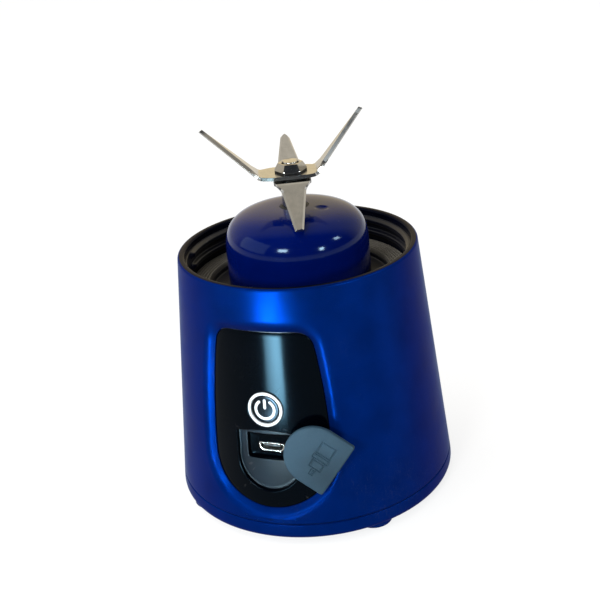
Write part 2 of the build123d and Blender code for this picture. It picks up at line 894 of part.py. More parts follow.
def blade(azimuth, low, arms, root, tip):
    """Two-armed sheet blade on the stud; each arm gives its direction, bend, reach and angle."""
    middle = low + blade_thickness / 2
    flat = radial_plane(azimuth, middle)
    side = Plane(origin=flat.origin, x_dir=flat.x_dir, z_dir=flat.x_dir.cross(flat.z_dir))
    with BuildPart() as sheet:
        for way, bend, reach_out, angle in arms:
            with BuildPart(mode=Mode.PRIVATE) as band:
                extrude(arm_profile(side, way, bend, reach_out, angle), amount=blade_hub_width, both=True)
                plan = arm_plan(flat, way, bend, reach_out, root, tip)
                extrude(plan, amount=2 * beyond, both=True, mode=Mode.INTERSECT)
            add(band.part)
        with BuildSketch(flat):
            RectangleRounded(blade_hub_width, blade_hub_width, blade_bend_radius / 2)
        extrude(amount=blade_thickness / 2, both=True)
        with BuildSketch(radial_plane(front_arm_azimuth, middle)):
            Circle(stud_radius + slip)
            Rectangle(2 * (stud_radius + slip), 2 * (stud_flat + slip), mode=Mode.INTERSECT)
        extrude(amount=blade_thickness, both=True, mode=Mode.SUBTRACT)
    return sheet.part


low_arms = (
    (1, front_arm_bend, front_arm_reach, front_arm_angle),
    (-1, back_arm_bend, back_arm_reach, back_arm_angle),
)
with BuildPart() as lower_blade:
    add(blade(front_arm_azimuth, blade_seat_z, low_arms, low_arm_root, low_arm_tip))
finish(lower_blade, "lower_blade")

high_arms = (
    (1, right_arm_bend, right_arm_reach, right_arm_angle),
    (-1, left_arm_bend, left_arm_reach, left_arm_angle),
)
high_blade_z = blade_seat_z + blade_thickness + blade_gap
with BuildPart() as upper_blade:
    add(blade(front_arm_azimuth + 90, high_blade_z, high_arms, high_arm_root, high_arm_tip))
finish(upper_blade, "upper_blade")

with BuildPart() as blade_spacer:
    with BuildSketch(Plane.XY.offset(blade_seat_z + blade_thickness)):
        Circle(spacer_radius)
        Circle(stud_radius + slip, mode=Mode.SUBTRACT)
    extrude(amount=blade_gap)
finish(blade_spacer, "blade_spacer")

with BuildPart() as blade_nut:
    with BuildSketch(radial_plane(front_arm_azimuth, high_blade_z + blade_thickness)):
        RegularPolygon(radius=nut_across_flats / 2, side_count=6, major_radius=False)
    extrude(amount=nut_skirt)
    extrude(
        blade_nut.faces().sort_by(Axis.Z)[-1], amount=nut_height - nut_skirt, taper=nut_taper
    )
    with BuildSketch(Plane.XY.offset(high_blade_z + blade_thickness)):
        Circle(stud_radius + thread_gap)
    extrude(amount=nut_height, mode=Mode.SUBTRACT)
finish(blade_nut, "blade_nut")

# ================================================================ front panel
flange_inset = window_frame_depth + face_gap
frame_inset = flange_inset + panel_flange_wall


def seat_outline(margin):
    """Outline of the flap's seat: round below, straight at the sides, with a low crown on top."""
    with BuildSketch(panel_plane) as shape:
        with BuildLine():
            Polyline((-seat_half_width, flap_centre), (-seat_half_width, seat_side_top))
            ThreePointArc(
                (-seat_half_width, seat_side_top),
                (0, seat_side_top + seat_crown),
                (seat_half_width, seat_side_top),
            )
            Polyline((seat_half_width, seat_side_top), (seat_half_width, flap_centre))
            ThreePointArc(
                (seat_half_width, flap_centre),
                (0, flap_centre - seat_half_width),
                (-seat_half_width, flap_centre),
            )
        make_face()
        if margin:
            offset(amount=margin)
    return shape.sketch


flap_back = seat_depth + panel_recess - flap_seat_gap
stem_direction = Vector(
    sin(radians(stem_azimuth)) * cos(radians(stem_tilt)),
    -cos(radians(stem_azimuth)) * cos(radians(stem_tilt)),
    sin(radians(stem_tilt)),
)
stem_plane = Plane(
    origin=panel_plane.from_local_coords(Vector(pivot_across, pivot_up, -flap_back)),
    x_dir=(cos(radians(stem_azimuth)), sin(radians(stem_azimuth)), 0),
    z_dir=stem_direction,
)
unturned = stem_plane.location.inverse() * panel_plane.location
flap_plane = Plane(stem_plane.location * Location((0, 0, flap_pull), (0, 0, -flap_swing)) * unturned)
pushed_plane = Plane(stem_plane.location * Location((0, 0, 0), (0, 0, -flap_swing)) * unturned)


def flap_outline(plane, margin=0.0):
    """Outline of the port flap: a straight top edge and a half round below."""
    with BuildSketch(plane) as shape:
        with BuildLine():
            Polyline(
                (-flap_half_width, flap_centre),
                (-flap_half_width, flap_centre + flap_straight),
                (flap_half_width, flap_centre + flap_straight),
                (flap_half_width, flap_centre),
            )
            ThreePointArc(
                (flap_half_width, flap_centre),
                (0, flap_centre - flap_half_width),
                (-flap_half_width, flap_centre),
            )
        make_face()
        fillet(shape.vertices().group_by(Axis.Y)[-1], flap_corner)
        if margin:
            offset(amount=margin)
    return shape.sketch


def flat_box(low_corner, high_corner, plane=panel_plane):
    """Rectangle on a plane between two corners."""
    with BuildSketch(plane) as shape:
        with Locations(low_corner):
            Rectangle(
                high_corner[0] - low_corner[0],
                high_corner[1] - low_corner[1],
                align=(Align.MIN, Align.MIN),
            )
    return shape.sketch


def pocket_outline(plane, margin=0.0):
    """Rounded rectangle of the port's pocket, grown by a margin."""
    middle = (pocket_low + pocket_high) / 2
    with BuildSketch(plane) as shape:
        with Locations((0, middle)):
            RectangleRounded(
                2 * (pocket_half_width + margin), pocket_high - pocket_low + 2 * margin, pocket_corner + margin
            )
    return shape.sketch


def port_outline(plane, margin=0.0):
    """Outline of the port's metal shell: wide above, with slanting lower corners."""
    half_width = port_width / 2
    high = port_height + port_thickness / 2
    low = port_height - port_thickness / 2
    with BuildSketch(plane) as shape:
        with BuildLine():
            Polyline(
                (-half_width, high),
                (half_width, high),
                (half_width, low + port_chamfer),
                (half_width - port_chamfer, low),
                (-half_width + port_chamfer, low),
                (-half_width, low + port_chamfer),
                close=True,
            )
        make_face()
        if margin:
            offset(amount=margin)
    return shape.sketch


pocket_back = pocket_depth + pocket_wall
board_top = port_height - port_thickness / 2
board_bottom = board_top - board_wall
posts = [(side * post_half_spacing, high) for side in (-1, 1) for high in (post_low, post_high)]


def block(outline, back):
    """Solid behind the panel's face with an outline of the panel's plane, down to a depth."""
    with BuildPart() as solid:
        extrude(outline, amount=-back)
        add(cone_core(panel_recess + panel_wall / 2), mode=Mode.INTERSECT)
    return solid.part


with BuildPart() as front_panel:
    add(layer(panel_outline(0), panel_recess, frame_inset, high=frame_top_z))
    add(layer(panel_outline(panel_flange), flange_inset, frame_inset, high=frame_top_z))
    add(layer(panel_outline(-panel_rim_wall), panel_back, reach), mode=Mode.SUBTRACT)
    add(layer(panel_outline(0), panel_recess, panel_back))
    add(block(seat_outline(seat_block_wall), seat_block_depth))
    add(block(pocket_outline(panel_plane, pocket_wall), pocket_back))
    with BuildSketch(panel_plane.offset(-board_depth)):
        with Locations(*posts):
            Circle(post_radius)
    extrude(amount=board_depth - panel_back)
    for side in (-1, 1):
        rail = flat_box(
            (side * rail_half_spacing - rail_width / 2, board_bottom - rail_height),
            (side * rail_half_spacing + rail_width / 2, board_bottom),
            panel_plane.offset(-pocket_back),
        )
        extrude(rail, amount=-charge_board_length)
    add(in_front(seat_outline(0), panel_recess + seat_depth), mode=Mode.SUBTRACT)
    extrude(pocket_outline(panel_plane.offset(-pocket_depth)), amount=reach, mode=Mode.SUBTRACT)
    extrude(port_outline(panel_plane.offset(-pocket_back), slip), amount=reach, mode=Mode.SUBTRACT)
    add(
        in_front(disc(button_ring_radius + slip, (0, button_height)), panel_recess + button_ring_depth),
        mode=Mode.SUBTRACT,
    )
    extrude(disc(button_radius + button_gap, (0, button_height)), amount=reach, both=True, mode=Mode.SUBTRACT)
    with BuildSketch(panel_plane.offset(-board_depth)):
        with Locations(*posts):
            Circle(screw_radius + thread_gap)
    extrude(amount=board_depth - panel_back - panel_wall, mode=Mode.SUBTRACT)
    pushed_flap = flap_outline(pushed_plane.offset(-flap_back - slip), flap_relief)
    extrude(pushed_flap, amount=reach, mode=Mode.SUBTRACT)
    with BuildSketch(stem_plane.offset(-ear_thickness - slip)):
        Circle(ear_radius + flap_relief)
    extrude(amount=reach, mode=Mode.SUBTRACT)
    with BuildSketch(stem_plane):
        Circle(stem_radius + slip)
    extrude(amount=reach, both=True, mode=Mode.SUBTRACT)
    with BuildSketch(stem_plane.offset(flap_back - seat_block_depth)):
        Circle(stem_head_radius + flap_relief)
    extrude(amount=-reach, mode=Mode.SUBTRACT)
finish(front_panel, "front_panel")

# ================================================================ power button
button_at = (0, button_height)
ring_inner = button_ring_radius - button_ring_width
with BuildPart() as button_ring:
    ring_disc = disc(button_ring_radius, button_at)
    add(layer(ring_disc, panel_recess - button_ring_proud, panel_recess + button_ring_depth))
    extrude(disc(ring_inner, button_at), amount=reach, both=True, mode=Mode.SUBTRACT)
finish(button_ring, "button_ring")


def symbol_outline(margin=0.0):
    """Power symbol: an open ring with an upright bar in its gap."""
    with BuildSketch(panel_plane) as shape:
        with Locations(button_at):
            Circle(symbol_radius + symbol_stroke / 2 + margin)
            Circle(symbol_radius - symbol_stroke / 2 - margin, mode=Mode.SUBTRACT)
        with BuildLine():
            wide = 2 * symbol_radius * tan(radians(symbol_gap_angle / 2))
            Polyline(
                button_at,
                (-wide, button_height + 2 * symbol_radius),
                (wide, button_height + 2 * symbol_radius),
                close=True,
            )
        make_face(mode=Mode.SUBTRACT)
        with Locations((0, button_height + symbol_radius / 2 + symbol_stroke / 4)):
            Rectangle(symbol_stroke + 2 * margin, symbol_radius + symbol_stroke / 2 + 2 * margin)
    return shape.sketch


button_front = panel_recess + button_recess
button_back = panel_back + button_back_gap
button_end = button_back + button_flange_wall
with BuildPart() as power_button:
    add(layer(disc(button_radius, button_at), button_front, button_end))
    add(layer(disc(button_radius + button_flange, button_at), button_back, button_end))
    add(in_front(symbol_outline(), button_front + symbol_depth), mode=Mode.SUBTRACT)
finish(power_button, "power_button")

with BuildPart() as power_symbol:
    add(layer(symbol_outline(), button_front, button_front + symbol_depth))
finish(power_symbol, "power_symbol")

switch_front = board_depth - switch_height
switch_plane = panel_plane.offset(-switch_front)
with BuildPart() as switch_plunger:
    with BuildSketch(switch_plane):
        with Locations(button_at):
            Circle(plunger_radius)
    extrude(amount=-plunger_reach)
    extrude(disc(plunger_radius, button_at, switch_plane), amount=reach)
    add(cone_core(button_end), mode=Mode.INTERSECT)
finish(switch_plunger, "switch_plunger")

with BuildPart() as tact_switch:
    with BuildSketch(switch_plane):
        with Locations(button_at):
            Rectangle(switch_size, switch_size)
    extrude(amount=-switch_height)
    with BuildSketch(switch_plane):
        with Locations(button_at):
            Circle(plunger_radius + slip)
    extrude(amount=-plunger_reach - button_travel - switch_clearance, mode=Mode.SUBTRACT)
finish(tact_switch, "tact_switch")

with BuildPart() as control_board:
    board_corners = ((-board_half_width, board_low), (board_half_width, board_high))
    extrude(flat_box(*board_corners, panel_plane.offset(-board_depth)), amount=-board_wall)
    with BuildSketch(panel_plane.offset(-board_depth)):
        with Locations(*posts):
            Circle(screw_radius + slip)
    extrude(amount=-board_wall, mode=Mode.SUBTRACT)
finish(control_board, "control_board")

board_back = board_depth + board_wall
with BuildPart() as board_screws:
    with BuildSketch(panel_plane.offset(-board_back)):
        with Locations(*posts):
            Circle(screw_head_radius)
    extrude(amount=-screw_head_height)
    with BuildSketch(panel_plane.offset(-board_back)):
        with Locations(*posts):
            Circle(screw_radius)
    extrude(amount=board_back - panel_back - panel_wall - switch_clearance)
finish(board_screws, "board_screws")

# ================================================================ charging port
port_front = pocket_depth - port_proud
with BuildPart() as usb_shell:
    extrude(port_outline(panel_plane.offset(-port_front)), amount=-port_length)
    port_inside = port_outline(panel_plane.offset(-port_front), -port_wall)
    extrude(port_inside, amount=-port_length, mode=Mode.SUBTRACT)
finish(usb_shell, "usb_shell")

with BuildPart() as usb_tongue:
    extrude(port_outline(panel_plane.offset(-port_front - port_length), -port_wall), amount=port_back)
    with BuildSketch(panel_plane.offset(-port_front - port_length)):
        with Locations((0, port_height + tongue_thickness / 2)):
            Rectangle(tongue_width, tongue_thickness)
    extrude(amount=port_length - tongue_recess)
finish(usb_tongue, "usb_tongue")

with BuildPart() as charge_board:
    extrude(
        flat_box(
            (-charge_board_half_width, board_bottom),
            (charge_board_half_width, board_top),
            panel_plane.offset(-pocket_back - face_gap),
        ),
        amount=-charge_board_length,
    )
finish(charge_board, "charge_board")

# ================================================================ port flap on its stem
stem_end = flap_pull - ear_thickness + stem_seat - slip
stem_head_front = flap_back - seat_block_depth - flap_relief
with BuildPart() as flap_stem:
    with BuildSketch(stem_plane.offset(stem_head_front)):
        Circle(stem_radius)
    extrude(amount=stem_end - stem_head_front)
    with BuildSketch(stem_plane.offset(stem_head_front)):
        Circle(stem_head_radius)
    extrude(amount=-stem_head)
    round_edges = flap_stem.edges().filter_by(GeomType.CIRCLE)
    chamfer(round_edges.sort_by(Axis(stem_plane.origin, stem_direction))[0], slip)
finish(flap_stem, "flap_stem")

with BuildPart() as port_flap:
    extrude(flap_outline(flap_plane.offset(-flap_back)), amount=flap_thickness)
    fillet(port_flap.faces().sort_by(Axis(flap_plane.origin, flap_plane.z_dir))[-1].edges(), flap_relief)
    with BuildSketch(stem_plane.offset(flap_pull - ear_thickness)):
        Circle(ear_radius)
    extrude(amount=ear_thickness + flap_thickness / 2)
    with BuildSketch(stem_plane.offset(flap_pull - ear_thickness)):
        Circle(stem_radius + running_gap)
    extrude(amount=stem_seat, mode=Mode.SUBTRACT)
finish(port_flap, "port_flap")

# ================================================================ battery
cell_z = floor_z + tray_floor + cell_radius
cell_middle = cell_radius + cell_gap / 2
tray_half_length = cell_length / 2 + tab_thickness + face_gap
tray_half_width = cell_middle + cell_radius + face_gap
for side, name in ((-1, "battery_cell_front"), (1, "battery_cell_rear")):
    with BuildPart() as battery_cell:
        with BuildSketch(Plane.YZ.offset(-cell_length / 2)):
            with Locations((side * cell_middle, cell_z)):
                Circle(cell_radius)
        extrude(amount=cell_length)
    finish(battery_cell, name)

with BuildPart() as battery_tray:
    with BuildSketch(Plane.XY.offset(floor_z)):
        Rectangle(2 * (tray_half_length + tray_wall), 2 * (tray_half_width + tray_wall))
    extrude(amount=tray_height)
    with BuildSketch(Plane.YZ.offset(-tray_half_length)):
        with Locations((-cell_middle, cell_z), (cell_middle, cell_z)):
            Circle(cell_radius + face_gap)
        with Locations((0, cell_z)):
            Rectangle(2 * cell_middle, cell_radius)
    extrude(amount=2 * tray_half_length, mode=Mode.SUBTRACT)
finish(battery_tray, "battery_tray")

with BuildPart() as battery_tabs:
    for side in (-1, 1):
        with BuildSketch(Plane.YZ.offset(side * cell_length / 2)):
            with Locations((0, cell_z)):
                Rectangle(2 * (cell_middle + tab_overlap), tab_width)
        extrude(amount=side * tab_thickness)
finish(battery_tabs, "battery_tabs")

# ================================================================ wires


def wire(points):
    """Round wire along straight runs joined by bends."""
    with BuildPart() as run:
        with BuildLine():
            route = FilletPolyline(*points, radius=wire_bend)
        with BuildSketch(Plane(origin=route @ 0, z_dir=route % 0)):
            Circle(wire_radius)
        sweep(path=route)
    return run.part


with BuildPart() as motor_leads:
    for side in (-1, 1):
        across = side * motor_lead_half_spacing
        lead_end = panel_plane.from_local_coords(Vector(across, motor_lead_up, -board_back))
        lead_bend = panel_plane.from_local_coords(Vector(across, motor_lead_up, -cone_radius(lead_end.Z)))
        add(wire([(across, lead_bend.Y, motor_low_z), lead_bend, lead_end]))
finish(motor_leads, "motor_leads")

with BuildPart() as battery_leads:
    for side in (-1, 1):
        tab_face = side * (cell_length / 2 + tab_thickness)
        lead_low = (tab_face, -cell_middle, cell_z + tab_width / 2 - wire_radius)
        lead_corner = (tab_face + side * battery_lead_out, -cell_middle, lead_low[2])
        board_edge = -pocket_back - face_gap - charge_board_length
        across = side * battery_lead_half_spacing
        middle_up = (board_top + board_bottom) / 2
        lead_end = panel_plane.from_local_coords(Vector(across, middle_up, board_edge))
        lead_bend = panel_plane.from_local_coords(Vector(across, middle_up, board_edge - battery_lead_run))
        lead_top = (lead_corner[0], -cell_middle, lead_bend.Z)
        add(wire([lead_low, lead_corner, lead_top, lead_bend, lead_end]))
finish(battery_leads, "battery_leads")
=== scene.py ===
"""Dressed model of the motor base of a portable blender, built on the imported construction.

Lengths in this file are millimetres until a mesh is made; meshes are in metres. +Z is up, the front
panel faces -Y, and the origin lies on the blade axis on the surface that the feet stand on.
"""
import json
import logging
import math
from collections.abc import Callable
from dataclasses import dataclass
from enum import Enum
from functools import lru_cache

import bmesh
import bpy
import numpy as np
from mathutils import Matrix, Vector
from numpy.typing import NDArray


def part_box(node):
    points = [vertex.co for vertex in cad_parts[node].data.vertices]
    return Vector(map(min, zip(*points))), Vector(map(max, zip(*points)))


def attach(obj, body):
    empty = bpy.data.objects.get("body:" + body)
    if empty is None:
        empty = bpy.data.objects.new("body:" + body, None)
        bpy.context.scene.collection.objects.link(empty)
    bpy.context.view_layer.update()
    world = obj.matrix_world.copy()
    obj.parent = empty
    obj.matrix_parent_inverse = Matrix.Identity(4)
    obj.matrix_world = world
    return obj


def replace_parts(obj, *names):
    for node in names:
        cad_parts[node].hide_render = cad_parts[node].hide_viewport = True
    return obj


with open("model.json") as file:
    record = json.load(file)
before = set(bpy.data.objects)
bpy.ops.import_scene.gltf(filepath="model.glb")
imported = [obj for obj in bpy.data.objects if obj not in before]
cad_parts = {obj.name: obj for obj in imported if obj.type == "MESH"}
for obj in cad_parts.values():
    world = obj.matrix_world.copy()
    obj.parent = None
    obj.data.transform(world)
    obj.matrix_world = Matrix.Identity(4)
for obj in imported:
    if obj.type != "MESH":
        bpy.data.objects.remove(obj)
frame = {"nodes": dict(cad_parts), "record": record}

Points = NDArray[np.float64]
Loop = NDArray[np.float64]
Corners = list[tuple[float, float, float]]
Piece = bpy.types.Object
Node = bpy.types.Node
NodeTree = bpy.types.NodeTree
MM = 0.001
TURN = 2.0 * math.pi
WELD = 0.004
SLIVER = 0.0005
END_SHARE, SHARED_SHARE = 0.999, 0.49
NOISE_LOW, NOISE_HIGH = 0.3, 0.7
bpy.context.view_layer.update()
log = logging.getLogger("motor_base")


class Body(Enum):
    """Moving bodies of the construction."""

    BASE = "base"
    ROTOR = "rotor"
    BUTTON = "button"
    STEM = "flap_stem"
    FLAP = "flap"


# ---------------------------------------------------------------- curves and surfaces
def soft_path(corners: Corners, steps: int = 6) -> Points:
    """Polyline whose corners are rounded.

    Each corner is replaced by the parabola that touches both of its sides at radius times the
    tangent of half the turn, which is close to a circular arc for turns up to a right angle.

    Args:
        corners: (x, y, radius) of each corner; the first and last stay sharp.
        steps: points along each rounded corner.

    Returns:
        Points of the path, shape (n, 2).
    """
    spots = np.array([c[:2] for c in corners], float)
    out = [spots[0]]
    t = np.linspace(0.0, 1.0, steps)[:, None]
    for i in range(1, len(corners) - 1):
        radius = corners[i][2]
        if radius <= 0:
            out.append(spots[i])
            continue
        back, ahead = spots[i - 1] - spots[i], spots[i + 1] - spots[i]
        long_back, long_ahead = np.linalg.norm(back), np.linalg.norm(ahead)
        back, ahead = back / long_back, ahead / long_ahead
        turn = math.pi - math.acos(float(np.clip(back @ ahead, -1, 1)))
        free_back = END_SHARE if i == 1 else SHARED_SHARE
        free_ahead = END_SHARE if i == len(corners) - 2 else SHARED_SHARE
        run = min(radius * math.tan(turn / 2), free_back * long_back, free_ahead * long_ahead)
        start, end = spots[i] + back * run, spots[i] + ahead * run
        out.extend((1 - t) ** 2 * start + 2 * t * (1 - t) * spots[i] + t**2 * end)
    out.append(spots[-1])
    return np.array(out)


def unit(angles: Points) -> Points:
    """(cosine, sine) of angles in radians."""
    return joined(np.cos(angles), np.sin(angles))


def arc(centre: tuple[float, float], radius: float, start: float, end: float, steps: int) -> Points:
    """Points of a circular arc: centre plus radius times (cosine, sine) of the angle in degrees."""
    angle = np.radians(np.linspace(start, end, steps))
    return np.array(centre) + radius * unit(angle)


def lengths(path: Points) -> Points:
    """Length from the start of an open path to each of its points."""
    return np.concatenate([[0], np.cumsum(np.linalg.norm(np.diff(path, axis=0), axis=1))])


def spaced(path: Points, wanted: Points) -> Points:
    """Points of an open path at lengths from its start."""
    length = lengths(path)
    return joined(*(np.interp(wanted, length, path[:, k]) for k in range(path.shape[1])))


def resample(path: Points, count: int) -> Points:
    """Spreads count points evenly by length along an open path."""
    return spaced(path, np.linspace(0, lengths(path)[-1], count))


def tangents(line: Points) -> tuple[Points, Points]:
    """Unit directions along a line in a plane, and square to it on its left."""
    along = np.gradient(line, axis=0)
    along /= np.linalg.norm(along, axis=1)[:, None]
    return along, joined(-along[:, 1], along[:, 0])


def grown(outline: Loop, margin: float) -> Loop:
    """Closed outline moved outwards by a margin along its own normals (outline runs anticlockwise)."""
    along = np.roll(outline, -1, 0) - np.roll(outline, 1, 0)
    along /= np.linalg.norm(along, axis=1)[:, None] + 1e-12
    return outline + margin * joined(along[:, 1], -along[:, 0])


def by_angle(outline: Loop, centre: tuple[float, float], angles: Points) -> Loop:
    """Points where rays from a centre cross a closed outline that each ray meets once."""
    offset = outline - np.array(centre)
    own = np.arctan2(offset[:, 1], offset[:, 0])
    order = np.argsort(own)
    reach = np.interp(angles, own[order], np.linalg.norm(offset, axis=1)[order], period=TURN)
    return np.array(centre) + reach[:, None] * unit(angles)


def angles_about(outline: Loop, centre: tuple[float, float]) -> Points:
    """Angle of each point of an outline about a centre."""
    return np.arctan2(outline[:, 1] - centre[1], outline[:, 0] - centre[0])


def smooth(value: Points, low: float, high: float) -> Points:
    """Smooth step from 0 at low to 1 at high."""
    t = np.clip((value - low) / (high - low), 0.0, 1.0)
    return t * t * (3.0 - 2.0 * t)


def lathe(profile: Points, azimuths: Points) -> Points:
    """Surface of revolution: each (radius, height) of the profile turned to every azimuth."""
    radius, height = profile[:, 0][:, None], profile[:, 1][:, None]
    around = azimuths[None, :]
    return joined(radius * np.sin(around), -radius * np.cos(around), height + 0 * around)


def joined(*columns: Points) -> Points:
    """Columns of numbers side by side."""
    return np.stack(columns, -1)


def bearing(azimuth: float) -> Points:
    """Level direction at an azimuth in radians, counted from the front panel."""
    return np.array([math.sin(azimuth), -math.cos(azimuth), 0.0])


def rectangle(across: Points, upright: Points) -> Loop:
    """Rectangle through columns and rows, anticlockwise from its lower left corner."""
    low, high = upright[0], upright[-1]
    under = joined(across, np.full_like(across, low))[:-1]
    right = joined(np.full_like(upright, across[-1]), upright)[:-1]
    over, left = under * [-1, 1] + [0, high - low], right * [-1, -1] + [0, low + high]
    return np.concatenate([under, right, over, left])


def ring_of(count: int) -> Points:
    """Azimuths of a full turn."""
    return np.linspace(0.0, TURN, count, endpoint=False)


class Surface:
    """Collects grids of points into one mesh, merges their shared edges and makes the object."""

    def __init__(self, name: str) -> None:
        """Starts an empty surface for a piece of that name."""
        self.name = name
        self.points: list[Points] = []
        self.faces: list[list[int]] = []
        self.count = 0

    def grid(self, points: Points, wrap: bool = True, flip: bool = False) -> None:
        """Adds a grid of points, shape (rows, columns, 3).

        Args:
            points: the grid; its faces point along row direction crossed with column direction.
            wrap: joins the last column to the first.
            flip: turns the faces over.
        """
        rows, columns = points.shape[:2]
        index = np.arange(rows * columns).reshape(rows, columns) + self.count
        side = np.roll(index, -1, 1) if wrap else index[:, 1:]
        base = index if wrap else index[:, :-1]
        quads = joined(base[:-1], base[1:], side[1:], side[:-1]).reshape(-1, 4)
        self.faces.extend((quads[:, ::-1] if flip else quads).tolist())
        self.points.append(points.reshape(-1, 3))
        self.count += rows * columns

    def loops(self, loops: list[Points], flip: bool = False) -> None:
        """Adds a band through closed loops that have the same number of points."""
        self.grid(np.stack(loops), True, flip)

    def cap(self, loop: Points, middle: Points | None = None, flip: bool = False) -> None:
        """Closes a loop with a shallow fan to its middle."""
        centre = loop.mean(0) if middle is None else np.asarray(middle, float)
        shrink = np.array([0.0, 0.5, 0.999])[:, None, None]
        self.grid(loop[None] * (1 - shrink) + centre * shrink, True, flip)

    def rod(self, loops: Points | list[Points]) -> None:
        """Adds a band through closed loops and caps both ends."""
        self.loops(loops)
        self.cap(loops[0])
        self.cap(loops[-1])

    def turned(self, profile: Points, count: int, spot: Points | float = 0.0) -> None:
        """Adds a lathe of a profile with so many columns, set at a spot."""
        self.grid(lathe(profile, ring_of(count)) + spot)

    def build(self, body: Body, finish: "Finish", *stands_for: str, sharp: float = 50.0) -> Piece:
        """Makes the object, smooth except at edges sharper than an angle, and sets it on its body."""
        mesh = bpy.data.meshes.new(self.name)
        mesh.from_pydata((np.concatenate(self.points) * MM).tolist(), [], self.faces)
        work = bmesh.new()
        work.from_mesh(mesh)
        bmesh.ops.remove_doubles(work, verts=work.verts, dist=WELD * MM)
        bmesh.ops.dissolve_degenerate(work, edges=work.edges, dist=SLIVER * MM)
        bmesh.ops.recalc_face_normals(work, faces=work.faces)
        work.to_mesh(mesh)
        work.free()
        mesh.shade_smooth()
        mesh.set_sharp_from_angle(angle=math.radians(sharp))
        piece = bpy.data.objects.new(self.name, mesh)
        bpy.context.scene.collection.objects.link(piece)
        piece.data.materials.append(finish.material())
        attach(piece, body.value)
        if stands_for:
            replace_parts(piece, *stands_for)
        log.info("%s: %d faces", self.name, len(mesh.polygons))
        return piece


def dress(piece: Piece, finish: "Finish", wanted: Callable[[Points, Points], Points]) -> None:
    """Gives a second finish to the faces that are wanted.

    Args:
        piece: the object.
        finish: the second finish.
        wanted: says which faces take it, from their middles in millimetres and their normals.
    """
    faces = piece.data.polygons
    middles = np.array([face.center for face in faces]) / MM
    normals = np.array([face.normal for face in faces])
    piece.data.materials.append(finish.material())
    faces.foreach_set("material_index", wanted(middles, normals).astype(np.int32))


# ---------------------------------------------------------------- shader tools
class Tree:
    """Adds nodes to a node tree and links them."""

    def __init__(self, tree: NodeTree) -> None:
        """Wraps a node tree."""
        self.tree = tree

    def add(self, kind: str, values: dict | None = None, **settings: object) -> Node:
        """Adds a node.

        Args:
            kind: Blender's node type.
            values: input name or index to a value, or to an output socket to link.
            settings: attributes of the node itself.

        Returns:
            The new node.
        """
        node = self.tree.nodes.new(kind)
        for key, value in settings.items():
            setattr(node, key, value)
        for key, value in (values or {}).items():
            if isinstance(value, bpy.types.NodeSocket):
                self.tree.links.new(value, node.inputs[key])
            else:
                node.inputs[key].default_value = value
        return node

    def math(self, how: str, a: object, b: object = 0.0) -> bpy.types.NodeSocket:
        """Adds a Math node and returns its output."""
        return self.add("ShaderNodeMath", {0: a, 1: b}, operation=how).outputs[0]

    def times(self, a: object, b: object) -> bpy.types.NodeSocket:
        """Product of two values."""
        return self.math("MULTIPLY", a, b)

    def link(self, value: bpy.types.NodeSocket, node: Node, name: str) -> None:
        """Links a value to a named input of a node."""
        self.tree.links.new(value, node.inputs[name])

    def spread(
        self, value: object, low: float, high: float, to_low: float = 0.0, to_high: float = 1.0,
    ) -> object:
        """Maps a value from one range to another, clamped."""
        node = self.add(
            "ShaderNodeMapRange",
            {"Value": value, "From Min": low, "From Max": high, "To Min": to_low, "To Max": to_high},
        )
        return node.outputs["Result"]

    def mix(self, share: object, a: object, b: object) -> bpy.types.NodeSocket:
        """Mixes two colours."""
        node = self.add("ShaderNodeMix", data_type="RGBA")
        for socket, value in ((node.inputs[0], share), (node.inputs[6], a), (node.inputs[7], b)):
            if isinstance(value, bpy.types.NodeSocket):
                self.tree.links.new(value, socket)
            else:
                socket.default_value = value
        return node.outputs[2]

    def noise(self, vector: object, scale: object, detail: float = 3.0, rough: float = 0.5) -> object:
        """Adds a noise texture and returns its value."""
        values = {"Vector": vector, "Scale": scale, "Detail": detail, "Roughness": rough}
        return self.add("ShaderNodeTexNoise", values).outputs["Fac"]


def new_group(
    name: str, inputs: dict[str, float], outputs: list[str],
) -> tuple[NodeTree, Tree, object, object]:
    """Starts a shader group whose inputs are numbers, after a first vector input.

    Args:
        name: group name.
        inputs: input name to default value.
        outputs: names of the output values.

    Returns:
        The group, its Tree, its input node and its output node.
    """
    group = bpy.data.node_groups.new(name, "ShaderNodeTree")
    group.interface.new_socket("Vector", in_out="INPUT", socket_type="NodeSocketVector")
    for key, value in inputs.items():
        socket = group.interface.new_socket(key, in_out="INPUT", socket_type="NodeSocketFloat")
        socket.default_value = value
    for key in outputs:
        group.interface.new_socket(key, in_out="OUTPUT", socket_type="NodeSocketFloat")
    tree = Tree(group)
    return group, tree, tree.add("NodeGroupInput"), tree.add("NodeGroupOutput")


@lru_cache(maxsize=None)
def grain_group() -> NodeTree:
    """Moulded grain: two noises of different size give a height and a slow shade change."""
    group, tree, start, end = new_group("moulded_grain", {"Scale": 2500.0}, ["Height", "Shade"])
    fine = tree.noise(start.outputs["Vector"], start.outputs["Scale"], 4.0, 0.6)
    wide = tree.noise(start.outputs["Vector"], tree.times(start.outputs["Scale"], 0.03), 2.0)
    tree.link(fine, end, "Height")
    tree.link(wide, end, "Shade")
    return group


